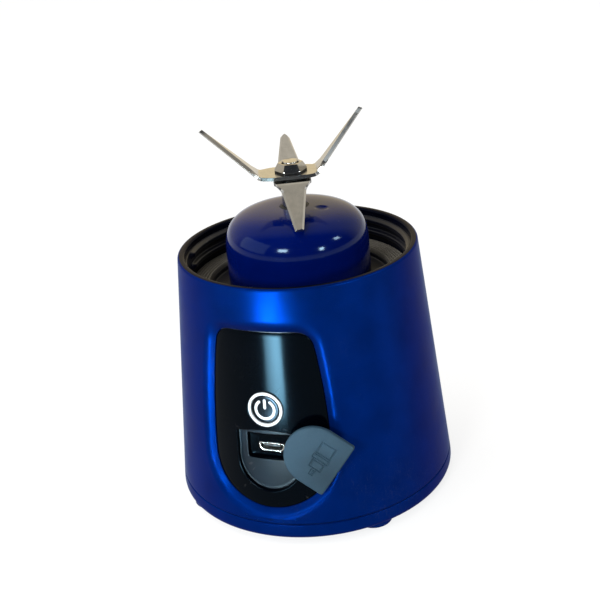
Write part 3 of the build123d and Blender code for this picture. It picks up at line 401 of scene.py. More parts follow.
@lru_cache(maxsize=None)
def marks_group() -> NodeTree:
    """Handling marks: fine scratches where stretched noise crosses its middle, and soft smudges."""
    group, tree, start, end = new_group(
        "handling_marks", {"Scale": 60.0, "Amount": 0.5}, ["Scratch", "Smudge"],
    )
    total = None
    for turn, stretch in ((0.4, (1.0, 14.0, 14.0)), (1.9, (12.0, 1.0, 9.0)), (2.8, (10.0, 12.0, 1.0))):
        turned = tree.add(
            "ShaderNodeMapping",
            {"Vector": start.outputs["Vector"], "Rotation": (turn, turn * 0.7, turn * 1.3), "Scale": stretch},
        )
        line = tree.noise(turned.outputs[0], start.outputs["Scale"], 2.0)
        near = tree.math("ABSOLUTE", tree.math("SUBTRACT", line, 0.5))
        thin = tree.spread(near, 0.0, 0.006, 1.0, 0.0)
        total = thin if total is None else tree.math("MAXIMUM", total, thin)
    patch = tree.noise(start.outputs["Vector"], tree.times(start.outputs["Scale"], 0.6), 3.0)
    where = tree.spread(patch, 0.52, 0.68)
    scratch = tree.times(tree.times(total, where), start.outputs["Amount"])
    cloud = tree.noise(start.outputs["Vector"], tree.times(start.outputs["Scale"], 1.3), 5.0, 0.65)
    smudge = tree.times(tree.spread(cloud, 0.42, 0.72), start.outputs["Amount"])
    tree.link(scratch, end, "Scratch")
    tree.link(smudge, end, "Smudge")
    return group


@lru_cache(maxsize=None)
def wear_group() -> NodeTree:
    """Edge wear: the sharp outer edges, broken up by noise."""
    group, tree, start, end = new_group("edge_wear", {"Scale": 900.0, "Amount": 0.5}, ["Mask"])
    shape = tree.add("ShaderNodeNewGeometry")
    edge = tree.spread(shape.outputs["Pointiness"], 0.53, 0.62)
    broken = tree.spread(tree.noise(start.outputs["Vector"], start.outputs["Scale"], 4.0), 0.4, 0.6)
    mask = tree.times(tree.times(edge, broken), start.outputs["Amount"])
    tree.link(mask, end, "Mask")
    return group


@lru_cache(maxsize=None)
def dust_group() -> NodeTree:
    """Dust: faint specks, denser on faces that look up."""
    group, tree, start, end = new_group("dust", {"Scale": 1800.0, "Amount": 0.3}, ["Mask"])
    shape = tree.add("ShaderNodeNewGeometry")
    parts = tree.add("ShaderNodeSeparateXYZ", {0: shape.outputs["Normal"]})
    upward = tree.spread(parts.outputs["Z"], -0.2, 0.9, 0.25, 1.0)
    cells = tree.add(
        "ShaderNodeTexVoronoi", {"Vector": start.outputs["Vector"], "Scale": start.outputs["Scale"]}
    ).outputs["Distance"]
    speck = tree.spread(cells, 0.04, 0.12, 1.0, 0.0)
    patch = tree.spread(tree.noise(start.outputs["Vector"], 90.0, 3.0), 0.45, 0.7)
    mask = tree.times(tree.times(speck, patch), upward)
    tree.link(tree.times(mask, start.outputs["Amount"]), end, "Mask")
    return group


Colour = tuple[float, float, float]
DUST_GREY = (0.4, 0.38, 0.35)
LINT_GREY = (0.3, 0.29, 0.27)


def rgba(colour: Colour) -> tuple[float, float, float, float]:
    """Colour with full opacity."""
    return (*colour, 1.0)


@dataclass(frozen=True)
class Finish:
    """Finish of a surface; subclasses set how its nodes are wired.

    Attributes:
        slot: material slot of the record.
        colour: main colour, linear.
        rough: mean roughness.
        metallic: 1 for metal.
        name: name of the material, if not that of its slot.
    """

    slot: str
    colour: Colour
    rough: float = 0.4
    metallic: float = 0.0
    name: str = ""

    def material(self) -> bpy.types.Material:
        """Returns the material, made at its first use."""
        name = self.name or f"{self.slot}_finish"
        found = bpy.data.materials.get(name)
        if found:
            return found
        made = bpy.data.materials.new(name)
        made.use_nodes = True
        made.node_tree.nodes.clear()
        tree = Tree(made.node_tree)
        shader = tree.add("ShaderNodeBsdfPrincipled", {"Metallic": self.metallic})
        place = tree.add("ShaderNodeTexCoord").outputs["Object"]
        self.wire(tree, shader, place)
        tree.add("ShaderNodeOutputMaterial", {"Surface": shader.outputs[0]})
        made.diffuse_color = rgba(self.colour)
        return made

    def shade(self, factor: float, grey: float = 0.0) -> tuple[float, float, float, float]:
        """Main colour times a factor, plus a grey."""
        return rgba(tuple(factor * c + grey for c in self.colour))

    def group(self, tree: Tree, group: NodeTree, place: object, **values: float) -> Node:
        """Places a shared effect in the material."""
        node = tree.add("ShaderNodeGroup", node_tree=group)
        tree.link(place, node, "Vector")
        for key, value in values.items():
            node.inputs[key.capitalize()].default_value = value
        return node

    def bump(self, tree: Tree, shader: Node, height: object, depth: float) -> None:
        """Feeds a height, in parts of depth in millimetres, to the shader's normal."""
        node = tree.add("ShaderNodeBump", {"Height": height, "Distance": depth * MM, "Strength": 1.0})
        tree.link(node.outputs[0], shader, "Normal")

    def wire(self, tree: Tree, shader: Node, place: object) -> None:
        """Wires the material's nodes into its shader."""
        raise NotImplementedError


@dataclass(frozen=True)
class Plastic(Finish):
    """Moulded plastic: grain, slow shade change, scratches, smudges, dust and pale worn edges.

    Attributes:
        grain: grain height in millimetres.
        grain_scale: grain size, as repeats in a metre.
        varied: how much the shade changes.
        marks: amount of scratches and smudges.
        dust: amount of dust.
        wear: amount of edge wear.
        specular: specular level.
        tint: colour of its reflections seen straight on.
    """

    grain: float = 0.004
    grain_scale: float = 3500.0
    varied: float = 0.15
    marks: float = 0.3
    dust: float = 0.2
    wear: float = 0.2
    specular: float = 0.5
    tint: Colour = (1.0, 1.0, 1.0)

    def wire(self, tree: Tree, shader: Node, place: object) -> None:
        """Wires grain, marks, dust and wear."""
        grain = self.group(tree, grain_group(), place, scale=self.grain_scale)
        marks = self.group(tree, marks_group(), place, amount=self.marks)
        wear = self.group(tree, wear_group(), place, amount=self.wear)
        dust = self.group(tree, dust_group(), place, amount=self.dust)
        dark = self.shade(1 - self.varied)
        light = self.shade(1 + self.varied)
        base = tree.mix(tree.spread(grain.outputs["Shade"], NOISE_LOW, NOISE_HIGH), dark, light)
        pale = self.shade(0.55, 0.12)
        base = tree.mix(tree.times(marks.outputs["Scratch"], 0.35), base, pale)
        base = tree.mix(wear.outputs["Mask"], base, pale)
        base = tree.mix(dust.outputs["Mask"], base, rgba(DUST_GREY))
        tree.link(base, shader, "Base Color")
        rough = tree.spread(grain.outputs["Shade"], NOISE_LOW, NOISE_HIGH, self.rough * 0.9, self.rough * 1.1)
        rough = tree.math("ADD", rough, tree.times(marks.outputs["Smudge"], 0.12))
        rough = tree.math("ADD", rough, tree.times(dust.outputs["Mask"], 0.3))
        tree.link(rough, shader, "Roughness")
        lowered = tree.times(marks.outputs["Scratch"], -0.5)
        self.bump(tree, shader, tree.math("ADD", grain.outputs["Height"], lowered), self.grain)
        shader.inputs["Specular IOR Level"].default_value = self.specular
        shader.inputs["Specular Tint"].default_value = rgba(self.tint)


@dataclass(frozen=True)
class Rubber(Finish):
    """Soft rubber: matte, with a fine pebble, lint and rubbed edges.

    Attributes:
        pebble: pebble height in millimetres.
        lint: amount of dust.
        wear: amount of rubbed edge.
    """

    pebble: float = 0.02
    lint: float = 0.5
    wear: float = 0.35

    def wire(self, tree: Tree, shader: Node, place: object) -> None:
        """Wires pebble, lint and wear."""
        grain = self.group(tree, grain_group(), place, scale=1800.0)
        wear = self.group(tree, wear_group(), place, amount=self.wear)
        dust = self.group(tree, dust_group(), place, amount=self.lint)
        dark = self.shade(0.8)
        light = self.shade(1.25)
        base = tree.mix(tree.spread(grain.outputs["Shade"], 0.35, 0.65), dark, light)
        base = tree.mix(wear.outputs["Mask"], base, self.shade(1.6, 0.02))
        base = tree.mix(dust.outputs["Mask"], base, rgba(LINT_GREY))
        tree.link(base, shader, "Base Color")
        rough = tree.spread(
            grain.outputs["Height"], NOISE_LOW, NOISE_HIGH, self.rough * 0.85, self.rough * 1.1,
        )
        tree.link(rough, shader, "Roughness")
        self.bump(tree, shader, grain.outputs["Height"], self.pebble)
        shader.inputs["Specular IOR Level"].default_value = 0.2


@dataclass(frozen=True)
class Metal(Finish):
    """Worked metal: fine grinding lines, small scratches and a slow change of tone.

    Attributes:
        lines: how strong the grinding lines are.
        line_scale: stretch of the lines along each axis.
        tint: second tone that the surface drifts to.
        depth: line depth in millimetres.
    """

    metallic: float = 1.0
    lines: float = 0.3
    line_scale: tuple[float, float, float] = (40.0, 40.0, 1500.0)
    tint: Colour = (0.5, 0.45, 0.4)
    depth: float = 0.0008

    def wire(self, tree: Tree, shader: Node, place: object) -> None:
        """Wires grinding lines and marks."""
        stretched = tree.add("ShaderNodeMapping", {"Vector": place, "Scale": self.line_scale}).outputs[0]
        line = tree.noise(stretched, 1.0, 4.0, 0.6)
        drift = tree.noise(place, 70.0, 2.0)
        marks = self.group(tree, marks_group(), place, scale=150.0, amount=0.6)
        tone = tree.mix(tree.spread(drift, 0.35, 0.65), rgba(self.colour), rgba(self.tint))
        dim = self.shade(0.7)
        share = tree.times(tree.spread(line, 0.35, 0.65), self.lines)
        tree.link(tree.mix(share, tone, dim), shader, "Base Color")
        rough = tree.spread(
            line, NOISE_LOW, NOISE_HIGH, self.rough * (1 - self.lines / 2), self.rough * (1 + self.lines),
        )
        rough = tree.math("ADD", rough, tree.times(marks.outputs["Smudge"], 0.1))
        tree.link(rough, shader, "Roughness")
        self.bump(tree, shader, tree.math("SUBTRACT", line, marks.outputs["Scratch"]), self.depth)


# ---------------------------------------------------------------- finishes of this appliance
SHELL_NAVY = Plastic(
    "shell_plastic", (0.0, 0.0105, 0.092), 0.33, metallic=0.46, grain=0.006, varied=0.12, dust=0.4,
    wear=0.12, specular=0.03, tint=(0.03, 0.26, 0.6), name="shell_paint",
)
LIP_BLACK = Plastic(
    "shell_plastic", (0.0003, 0.0008, 0.005), 0.24, grain=0.003, varied=0.2, dust=0.3, wear=0.12,
    specular=0.03, name="shell_lip",
)
COLLAR_BLACK = Plastic(
    "collar_plastic", (0.0008, 0.0014, 0.006), 0.32, varied=0.2, marks=0.5, dust=0.4, specular=0.25
)
DOME_NAVY = Plastic(
    "dome_plastic", (0.0, 0.0030, 0.054), 0.10, grain=0.0008, varied=0.1, marks=0.2, specular=0.16,
    tint=(0.6, 0.85, 1.0), wear=0.1, dust=0.15,
)
PANEL_BLACK = Plastic(
    "panel_plastic", (0.0001, 0.0003, 0.0012), 0.13, grain=0.0005, varied=0.2, marks=0.04, specular=0.05,
    tint=(0.5, 0.8, 1.0), wear=0.12,
)
# Satin seat floor, partly painted reflection: its colour is lighter than the panel's to paint the blue-grey
# sheen on the seat's floor.
SEAT_SATIN_SHEEN = Plastic(
    "panel_plastic", (0.004, 0.009, 0.015), 0.36, grain=0.003, varied=0.3, marks=0.2, specular=0.15,
    name="seat_satin_painted_sheen",
)
BUTTON_BLACK = Plastic(
    "button_plastic", (0.0004, 0.0007, 0.0016), 0.16, grain=0.001, varied=0.2, marks=0.3, specular=0.15,
    tint=(0.6, 0.8, 1.0),
)
LIGHT_WHITE = Plastic("ring_plastic", (0.7, 0.72, 0.74), 0.4, varied=0.04, marks=0.1, dust=0.1, wear=0.0)
PORT_BLACK = Plastic("port_plastic", (0.012, 0.012, 0.013), 0.45, varied=0.2)
WASHER_BLACK = Plastic("washer_plastic", (0.008, 0.008, 0.009), 0.4, varied=0.2)
CAP_BLACK = Plastic("cap_plastic", (0.02, 0.02, 0.02), 0.5)
TRAY_BLACK = Plastic("tray_plastic", (0.02, 0.02, 0.024), 0.55)
CELL_BLUE = Plastic("cell_sleeve", (0.03, 0.15, 0.4), 0.3, grain=0.002)
BOARD_GREEN = Plastic("board_laminate", (0.01, 0.1, 0.035), 0.35, grain=0.003)
SEAL_GREY = Rubber("seal_rubber", (0.085, 0.078, 0.066), 0.62, lint=0.3)
FLAP_SLATE = Rubber("flap_rubber", (0.0150, 0.035, 0.053), 0.7, pebble=0.03, lint=0.6, wear=0.3)
FOOT_BLACK = Rubber("foot_rubber", (0.015, 0.015, 0.017), 0.8)
SHAFT_BLACK = Rubber("shaft_rubber", (0.012, 0.012, 0.012), 0.55)
LEAD_RED = Rubber("lead_red", (0.35, 0.012, 0.01), 0.45)
LEAD_BLACK = Rubber("lead_black", (0.012, 0.012, 0.012), 0.45)
BLADE_STEEL = Metal(
    "blade_steel", (0.46, 0.45, 0.43), 0.16, tint=(0.52, 0.5, 0.46), line_scale=(500.0, 500.0, 60.0)
)
# Dark steel that paints shade: it goes on upright blade faces near the hub and on the nut's skirt.
HUB_SHADE_STEEL = Metal("blade_steel", (0.035, 0.035, 0.036), 0.3, tint=(0.06, 0.055, 0.05), name="blade_painted_shade")
NUT_STEEL = Metal("nut_steel", (0.48, 0.46, 0.42), 0.12, lines=0.12, tint=(0.54, 0.5, 0.44))
PORT_STEEL = Metal("port_steel", (0.6, 0.58, 0.56), 0.25, lines=0.15)
SCREW_STEEL = Metal("screw_steel", (0.4, 0.4, 0.41), 0.35)
CAN_STEEL = Metal("can_steel", (0.36, 0.36, 0.37), 0.35)
PLATE_STEEL = Metal("plate_steel", (0.45, 0.45, 0.45), 0.4)
SHAFT_STEEL = Metal("shaft_steel", (0.5, 0.5, 0.52), 0.22)
NICKEL = Metal("tab_nickel", (0.5, 0.48, 0.44), 0.3)
MAGNET = Metal("magnet_ferrite", (0.06, 0.06, 0.065), 0.7, lines=0.1, tint=(0.08, 0.07, 0.065))
COPPER = Metal(
    "winding_copper", (0.5, 0.18, 0.07), 0.3, tint=(0.55, 0.22, 0.08), line_scale=(40.0, 40.0, 2500.0),
)
BRUSH_COPPER = Metal("brush_copper", (0.5, 0.27, 0.14), 0.4, tint=(0.3, 0.16, 0.1))
BRONZE = Metal("bearing_bronze", (0.45, 0.3, 0.13), 0.45, tint=(0.4, 0.27, 0.13))
CARRIED_OVER = (
    SCREW_STEEL, PLATE_STEEL, CAN_STEEL, MAGNET, CAP_BLACK, BRUSH_COPPER, BRONZE, BOARD_GREEN, CELL_BLUE,
    TRAY_BLACK, NICKEL, LEAD_RED, LEAD_BLACK, SHAFT_STEEL, COPPER, FLAP_SLATE,
)


# ---------------------------------------------------------------- casing
@dataclass(frozen=True)
class Cone:
    """Outside form of the casing and the plane of its front panel.

    Attributes:
        rim_radius: radius at the rim.
        base_radius: radius at the underside of the body.
        rim_z: height of the rim.
        base_z: height of the underside.
        panel_drop: how far below the rim the panel's own origin lies.
    """

    rim_radius: float = 37.0
    base_radius: float = 44.6
    rim_z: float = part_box("outer_shell")[1].z / MM
    base_z: float = 2.0
    panel_drop: float = 50.0

    @property
    def slope(self) -> float:
        """Growth of the radius for each millimetre down."""
        return (self.base_radius - self.rim_radius) / (self.rim_z - self.base_z)

    @property
    def tilt(self) -> float:
        """Angle of the wall from upright, in radians."""
        return math.atan(self.slope)

    @property
    def up(self) -> Points:
        """Direction up along the panel."""
        return np.array([0.0, math.sin(self.tilt), math.cos(self.tilt)])

    @property
    def out(self) -> Points:
        """Direction out of the panel."""
        return np.array([0.0, -math.cos(self.tilt), math.sin(self.tilt)])

    @property
    def origin(self) -> Points:
        """Origin of the panel, on the cone."""
        height = self.rim_z - self.panel_drop
        return np.array([0.0, -self.radius(height), height])

    def radius(self, z: Points | float, inset: Points | float = 0.0) -> Points | float:
        """Radius at a height, moved in by a depth square to the wall."""
        return self.rim_radius + (self.rim_z - z) * self.slope - inset / math.cos(self.tilt)

    def plane(self, flat: Loop, out: Points | float) -> Points:
        """Points (u, v) of the panel's plane, moved out of it by a distance."""
        out = np.broadcast_to(np.asarray(out, float), flat.shape[:1])
        return (
            self.origin + flat[:, :1] * np.array([1.0, 0.0, 0.0]) + flat[:, 1:2] * self.up
            + out[:, None] * self.out
        )

    def at(self, flat: Loop, inset: Points | float) -> Points:
        """Points (u, v) of the panel's plane carried square to it onto the cone at an inset.

        The distance is the root of radius of the point minus radius of the cone, by Newton's steps.
        """
        out = np.zeros(len(flat))
        for _ in range(6):
            spot = self.plane(flat, out)
            reach = np.hypot(spot[:, 0], spot[:, 1])
            error = reach - self.radius(spot[:, 2], inset)
            out = out - error / (spot[:, 1] * self.out[1] / reach + self.slope * self.out[2])
        return self.plane(flat, out)

    def unrolled(self, spots: Points) -> Loop:
        """(arc at the rim's radius, height) of points on the cone."""
        return joined(np.arctan2(spots[:, 0], -spots[:, 1]) * self.rim_radius, spots[:, 2])

    def rolled(self, flat: Loop, inset: Points | float = 0.0) -> Points:
        """Points on the cone from (arc at the rim's radius, height)."""
        azimuth, height = flat[:, 0] / self.rim_radius, flat[:, 1]
        reach = self.radius(height, inset)
        return joined(reach * np.sin(azimuth), -reach * np.cos(azimuth), height)


@dataclass(frozen=True)
class PanelForm:
    """Outline of the front panel, a tall U: two arcs below, long flat arcs up the sides.

    Attributes:
        half_width: at the widest.
        top_half_width: at the top edge.
        top, widest, bottom: heights on the panel.
        side_radius: radius of the lower side arcs.
        corner: radius of the top corners.
    """

    half_width: float = 18.2
    top_half_width: float = 14.2
    top: float = 36.9
    widest: float = -3.0
    bottom: float = -18.6
    side_radius: float = 14.4
    corner: float = 5.6

    def outline(self) -> Loop:
        """Closed outline, anticlockwise from the bottom."""
        inset = self.half_width - self.side_radius
        drop = self.widest - self.bottom - self.side_radius
        rise = (inset**2 - drop**2) / (2 * drop)
        low_radius = rise + drop + self.side_radius
        joint = math.degrees(math.atan2(-rise, inset))
        low = arc((0, self.widest + rise), low_radius, -90, joint, 60)
        side = arc((inset, self.widest), self.side_radius, joint, 0, 60)
        step_in, height = self.half_width - self.top_half_width, self.top - self.widest
        long_radius = (step_in**2 + height**2) / (2 * step_in)
        swing = math.degrees(math.asin(height / long_radius))
        flank = arc((self.half_width - long_radius, self.widest), long_radius, 0, swing, 120)
        turn = math.radians(90 - swing)
        run = self.corner * math.tan(turn / 2)
        flank = flank[flank[:, 1] < self.top - run]
        corner = soft_path(
            [(*flank[-1], 0), (self.top_half_width, self.top, self.corner), (0.0, self.top, 0)], 24
        )
        half = np.concatenate([low, side[1:], flank[1:], corner[1:]])
        other = half[::-1][1:-1] * np.array([-1.0, 1.0])
        return resample(np.concatenate([half, other, half[:1]]), 1441)[:-1]


@dataclass
class CasingShell:
    """Conical outer shell with its rolled rim and the bevelled window for the panel."""

    cone: Cone
    form: PanelForm
    wall: float = 1.9
    seam_z: float = 7.0
    seam_chamfer: float = 0.35
    rim_width: float = 2.25
    rim_depth: float = 2.0
    rim_round: float = 0.95
    lip_drop: float = 2.2
    lip_inset: float = 0.45
    patch_low: float = 8.6
    patch_high: float = 72.0
    patch_reach: float = 31.0
    patch_middle_drop: float = 6.0
    window_gap: float = 0.1
    bevel: float = 1.85
    bevel_width: float = 2.5
    bevel_round: float = 1.3
    bevel_run_out: float = 1.6
    window_edge: float = 0.6
    columns: tuple[int, int] = (97, 200)
    rows: int = 81

    def azimuths(self) -> Points:
        """Azimuths of every column: the front patch, then the rest."""
        edge = self.patch_reach / self.cone.rim_radius
        return np.concatenate([np.linspace(-edge, edge, self.columns[0]), self.rest()[1:-1]])

    def rest(self) -> Points:
        """Azimuths behind the front patch, with both of its edges."""
        edge = self.patch_reach / self.cone.rim_radius
        return np.linspace(edge, TURN - edge, self.columns[1])

    def frame_loop(self) -> Loop:
        """Rectangle round the window on the unrolled cone, anticlockwise."""
        across = np.linspace(-self.patch_reach, self.patch_reach, self.columns[0])
        return rectangle(across, np.linspace(self.patch_low, self.patch_high, self.rows))

    def window_loop(self, margin: float, inset: float, angles: Points, middle: tuple[float, float]) -> Loop:
        """Window outline at a margin and inset, on the unrolled cone, one point for each angle."""
        spots = self.cone.at(grown(self.form.outline(), margin), inset)
        return by_angle(self.cone.unrolled(spots), middle, angles)

    def build(self) -> Piece:
        """Makes the closed shell: both walls, the window's bevel, the rim and the seam edge."""
        cone, surface = self.cone, Surface("casing_shell")
        frame_loop = self.frame_loop()
        middle = (0.0, (self.patch_low + self.patch_high) / 2 - self.patch_middle_drop)
        angles = angles_about(frame_loop, middle)
        gap, bevel, wide = self.window_gap, self.bevel, self.bevel_width
        path = soft_path([
            (gap + wide + self.bevel_run_out, 0.0, 0), (gap + wide, 0.0, self.bevel_round * 4),
            (gap, bevel, 0.3), (gap, bevel + self.window_edge, 0),
        ], 9)
        loops = []
        for margin, inset in path[::-1]:
            flat = self.window_loop(margin, inset, angles, middle)
            loops.append(cone.rolled(flat, inset))
        outer_edge = self.window_loop(path[0][0], 0.0, angles, middle)
        for share in np.linspace(0, 1, 14)[1:]:
            loops.append(cone.rolled(outer_edge * (1 - share) + frame_loop * share))
        inner_edge = self.window_loop(gap, self.wall + self.window_edge, angles, middle)
        back = [
            cone.rolled(frame_loop * share + inner_edge * (1 - share), self.wall + 0.55 * (1 - share))
            for share in np.linspace(1, 0, 8)
        ]
        surface.loops(back + loops)
        heights = np.linspace(self.patch_low, self.patch_high, self.rows)
        for inset, flip in ((0.0, True), (self.wall, False)):
            profile = joined(cone.radius(heights, inset), heights)
            surface.grid(lathe(profile, self.rest()), False, flip)
        high, low = self.patch_high, self.patch_low
        inner_top = cone.rim_z - self.rim_depth
        lip = cone.rim_radius - self.rim_width
        rim = soft_path([
            (cone.radius(high), high, 0), (cone.rim_radius, cone.rim_z, self.rim_round),
            (lip, cone.rim_z, self.rim_round), (lip, inner_top, 0),
            (cone.radius(inner_top, self.wall), inner_top, 0), (cone.radius(high, self.wall), high, 0),
        ], 9)
        surface.grid(lathe(rim, self.azimuths()))
        chamfer = self.seam_chamfer
        foot = soft_path([
            (cone.radius(low), low, 0), (cone.radius(self.seam_z + chamfer), self.seam_z + chamfer, 0.2),
            (cone.radius(self.seam_z) - chamfer, self.seam_z, 0),
            (cone.radius(self.seam_z, self.wall), self.seam_z, 0), (cone.radius(low, self.wall), low, 0),
        ], 4)
        surface.grid(lathe(foot, self.azimuths()), True, True)
        piece = surface.build(Body.BASE, SHELL_NAVY, "outer_shell")
        edge = cone.rim_z - self.lip_drop
        lip_reach = cone.rim_radius - self.lip_inset

        def inside_lip(middle: Points, normal: Points) -> Points:
            """Faces on top of the rim and just below it inside."""
            return (middle[:, 2] > edge) & (np.hypot(middle[:, 0], middle[:, 1]) < lip_reach)

        dress(piece, LIP_BLACK, inside_lip)
        return piece


@dataclass
class BottomCover:
    """Shallow cover under the shell, with a rounded base and four foot bosses, and the feet."""

    cone: Cone
    seam_z: float = 7.0
    underside_z: float = 2.0
    chamfer: float = 0.35
    base_round: float = 2.6
    lip: float = 2.2
    foot_circle: float = 38.0
    foot_radius: float = 4.9
    foot_height: float = 1.6
    boss_wall: float = 0.8
    boss_drop: float = 1.2
    boss_floor: float = 0.8
    boss_play: float = 0.05

    def cover(self) -> Piece:
        """Lathe of the cover: side, rounded base and floor, closed inside."""
        cone, surface = self.cone, Surface("casing_cover")
        side = cone.radius(self.seam_z)
        profile = soft_path([
            (0.0, self.underside_z, 0), (cone.base_radius, self.underside_z, self.base_round),
            (cone.radius(self.seam_z - self.chamfer), self.seam_z - self.chamfer, 0.2),
            (side - self.chamfer, self.seam_z, 0), (side - self.lip, self.seam_z, 0),
            (side - self.lip, self.underside_z + self.lip, 0), (0.0, self.underside_z + self.lip, 0),
        ], 9)
        surface.turned(profile, 256)
        for spot in self.spots():
            surface.grid(self.boss() + spot)
        return surface.build(Body.BASE, SHELL_NAVY, "bottom_cover")

    def spots(self) -> Points:
        """Centres of the feet."""
        azimuth = np.radians(45 + 90 * np.arange(4))
        return self.foot_circle * joined(np.sin(azimuth), -np.cos(azimuth), 0 * azimuth)

    def boss(self) -> Points:
        """Lathe of one foot boss: a rounded cup round the foot."""
        low, wall = self.underside_z - self.boss_drop, self.foot_radius + self.boss_wall
        high, floor = self.underside_z + self.boss_drop, low + self.boss_floor
        bore = self.foot_radius + self.boss_play
        profile = soft_path([
            (0.0, floor, 0), (bore, floor, 0), (bore, low, 0.15), (wall, low, 0.45), (wall, high, 0),
            (0.0, high, 0),
        ], 5)
        return lathe(profile, ring_of(72))

    def foot(self, number: int, spot: Points) -> Piece:
        """Lathe of one rubber foot with a dished middle and a moulded ring."""
        surface = Surface(f"foot_{number}")
        profile = soft_path([
            (0.0, 0.35, 0), (self.foot_radius * 0.5, 0.35, 0.3), (self.foot_radius * 0.55, 0.0, 0.2),
            (self.foot_radius * 0.9, 0.0, 0.4), (self.foot_radius, 0.5, 0.3),
            (self.foot_radius, self.foot_height, 0), (0.0, self.foot_height, 0),
        ], 5)
        surface.turned(profile, 64, spot)
        return surface.build(Body.BASE, FOOT_BLACK, "rubber_feet")

    def build(self) -> None:
        """Makes the cover and its feet."""
        self.cover()
        for number, spot in enumerate(self.spots(), 1):
            self.foot(number, spot)


# ---------------------------------------------------------------- jar seat
@dataclass
class JarSeat:
    """Collar with two rows of bayonet lugs above a stepped channel, and its ribbed seal."""

    cone: Cone
    wall: float = 2.0
    radius: float = 34.3
    shelf_radius: float = 28.0
    channel_radius: float = 22.25
    shelf_depth: float = 11.5
    channel_drop: float = 1.5
    floor: float = 3.0
    lug_depths: tuple[float, float] = (3.4, 7.2)
    lug_reach: float = 1.2
    lug_height: float = 1.3
    lug_sweep: float = 72.0
    lug_count: int = 3
    lug_ramp: float = 1.6
    lug_flat: float = 0.35
    corner: float = 0.15
    top_gap: float = 2.05
    seal_base: float = 1.0
    rib_height: float = 0.5
    rib_count: int = 6
    rib_flank: tuple[float, float] = (0.08, 0.36)
    seal_play: float = 0.12
    seal_lift: float = 0.02

    def lug(self, azimuths: Points, heights: Points) -> Points:
        """How far the lugs stand out of the wall: a rounded band in height times a sector in azimuth."""
        start = -math.pi / 2
        part = (azimuths + start + TURN) % (TURN / self.lug_count)
        sweep = math.radians(self.lug_sweep)
        ramp = math.radians(self.lug_ramp)
        sector = smooth(part, 0, ramp) * (1 - smooth(part, sweep - ramp, sweep))
        total = np.zeros((len(heights), len(azimuths)))
        for depth in self.lug_depths:
            away = np.abs(heights - (self.cone.rim_z - depth))
            band = 1 - smooth(away, self.lug_height * self.lug_flat, self.lug_height)
            total = np.maximum(total, band[:, None] * sector[None, :])
        return total * self.lug_reach

    def collar(self) -> Piece:
        """Closed lathe of the collar; its inner wall carries the lugs."""
        cone, surface = self.cone, Surface("jar_collar_ring")
        top, shelf = cone.rim_z - self.top_gap, cone.rim_z - self.shelf_depth
        channel = shelf - self.channel_drop
        azimuths = ring_of(360)
        heights = np.linspace(top - self.corner, shelf, 70)
        wall = lathe(joined(np.full_like(heights, self.radius), heights), azimuths)
        proud = self.lug(azimuths, heights)
        wall[..., 0] *= 1 - proud / self.radius
        wall[..., 1] *= 1 - proud / self.radius
        over = soft_path([
            (self.shelf_radius, channel - self.floor, 0),
            (cone.radius(shelf - self.floor) - self.wall, shelf - self.floor, 0),
            (cone.radius(top) - self.wall, top, 0.1), (self.radius, top, self.corner),
            (self.radius, top - self.corner, 0),
        ], 4)
        under = soft_path([
            (self.radius, shelf, 0), (self.shelf_radius, shelf, 0.25), (self.shelf_radius, channel, 0.5),
            (self.channel_radius, channel, 0.2), (self.channel_radius, channel - self.floor, 0),
            (self.shelf_radius, channel - self.floor, 0),
        ], 5)
        surface.grid(lathe(over, azimuths))
        surface.grid(wall)
        surface.grid(lathe(under, azimuths))
        return surface.build(Body.BASE, COLLAR_BLACK, "jar_collar")

    def seal(self) -> Piece:
        """Closed lathe of the seal; its top is a rounded wave of ribs."""
        surface = Surface("jar_seal")
        shelf = self.cone.rim_z - self.shelf_depth
        inner, outer = self.shelf_radius + self.seal_play, self.radius - self.seal_play
        reach = np.linspace(inner + self.corner, outer - self.corner, 90)
        phase = (reach - inner) / (outer - inner) * self.rib_count
        wave = smooth(0.5 - np.abs(phase % 1.0 - 0.5), *self.rib_flank)
        ribs = joined(reach, shelf + self.seal_base + self.rib_height * wave)
        low, side = shelf + self.seal_lift, shelf + self.seal_base - self.corner
        profile = np.concatenate([
            [[inner, low], [inner, side]], ribs, [[outer, side], [outer, low], [inner, low]],
        ])
        surface.turned(profile, 256)
        return surface.build(Body.BASE, SEAL_GREY, "seal_ring", sharp=60)

    def build(self) -> None:
        """Makes the collar and the seal."""
        self.collar()
        self.seal()


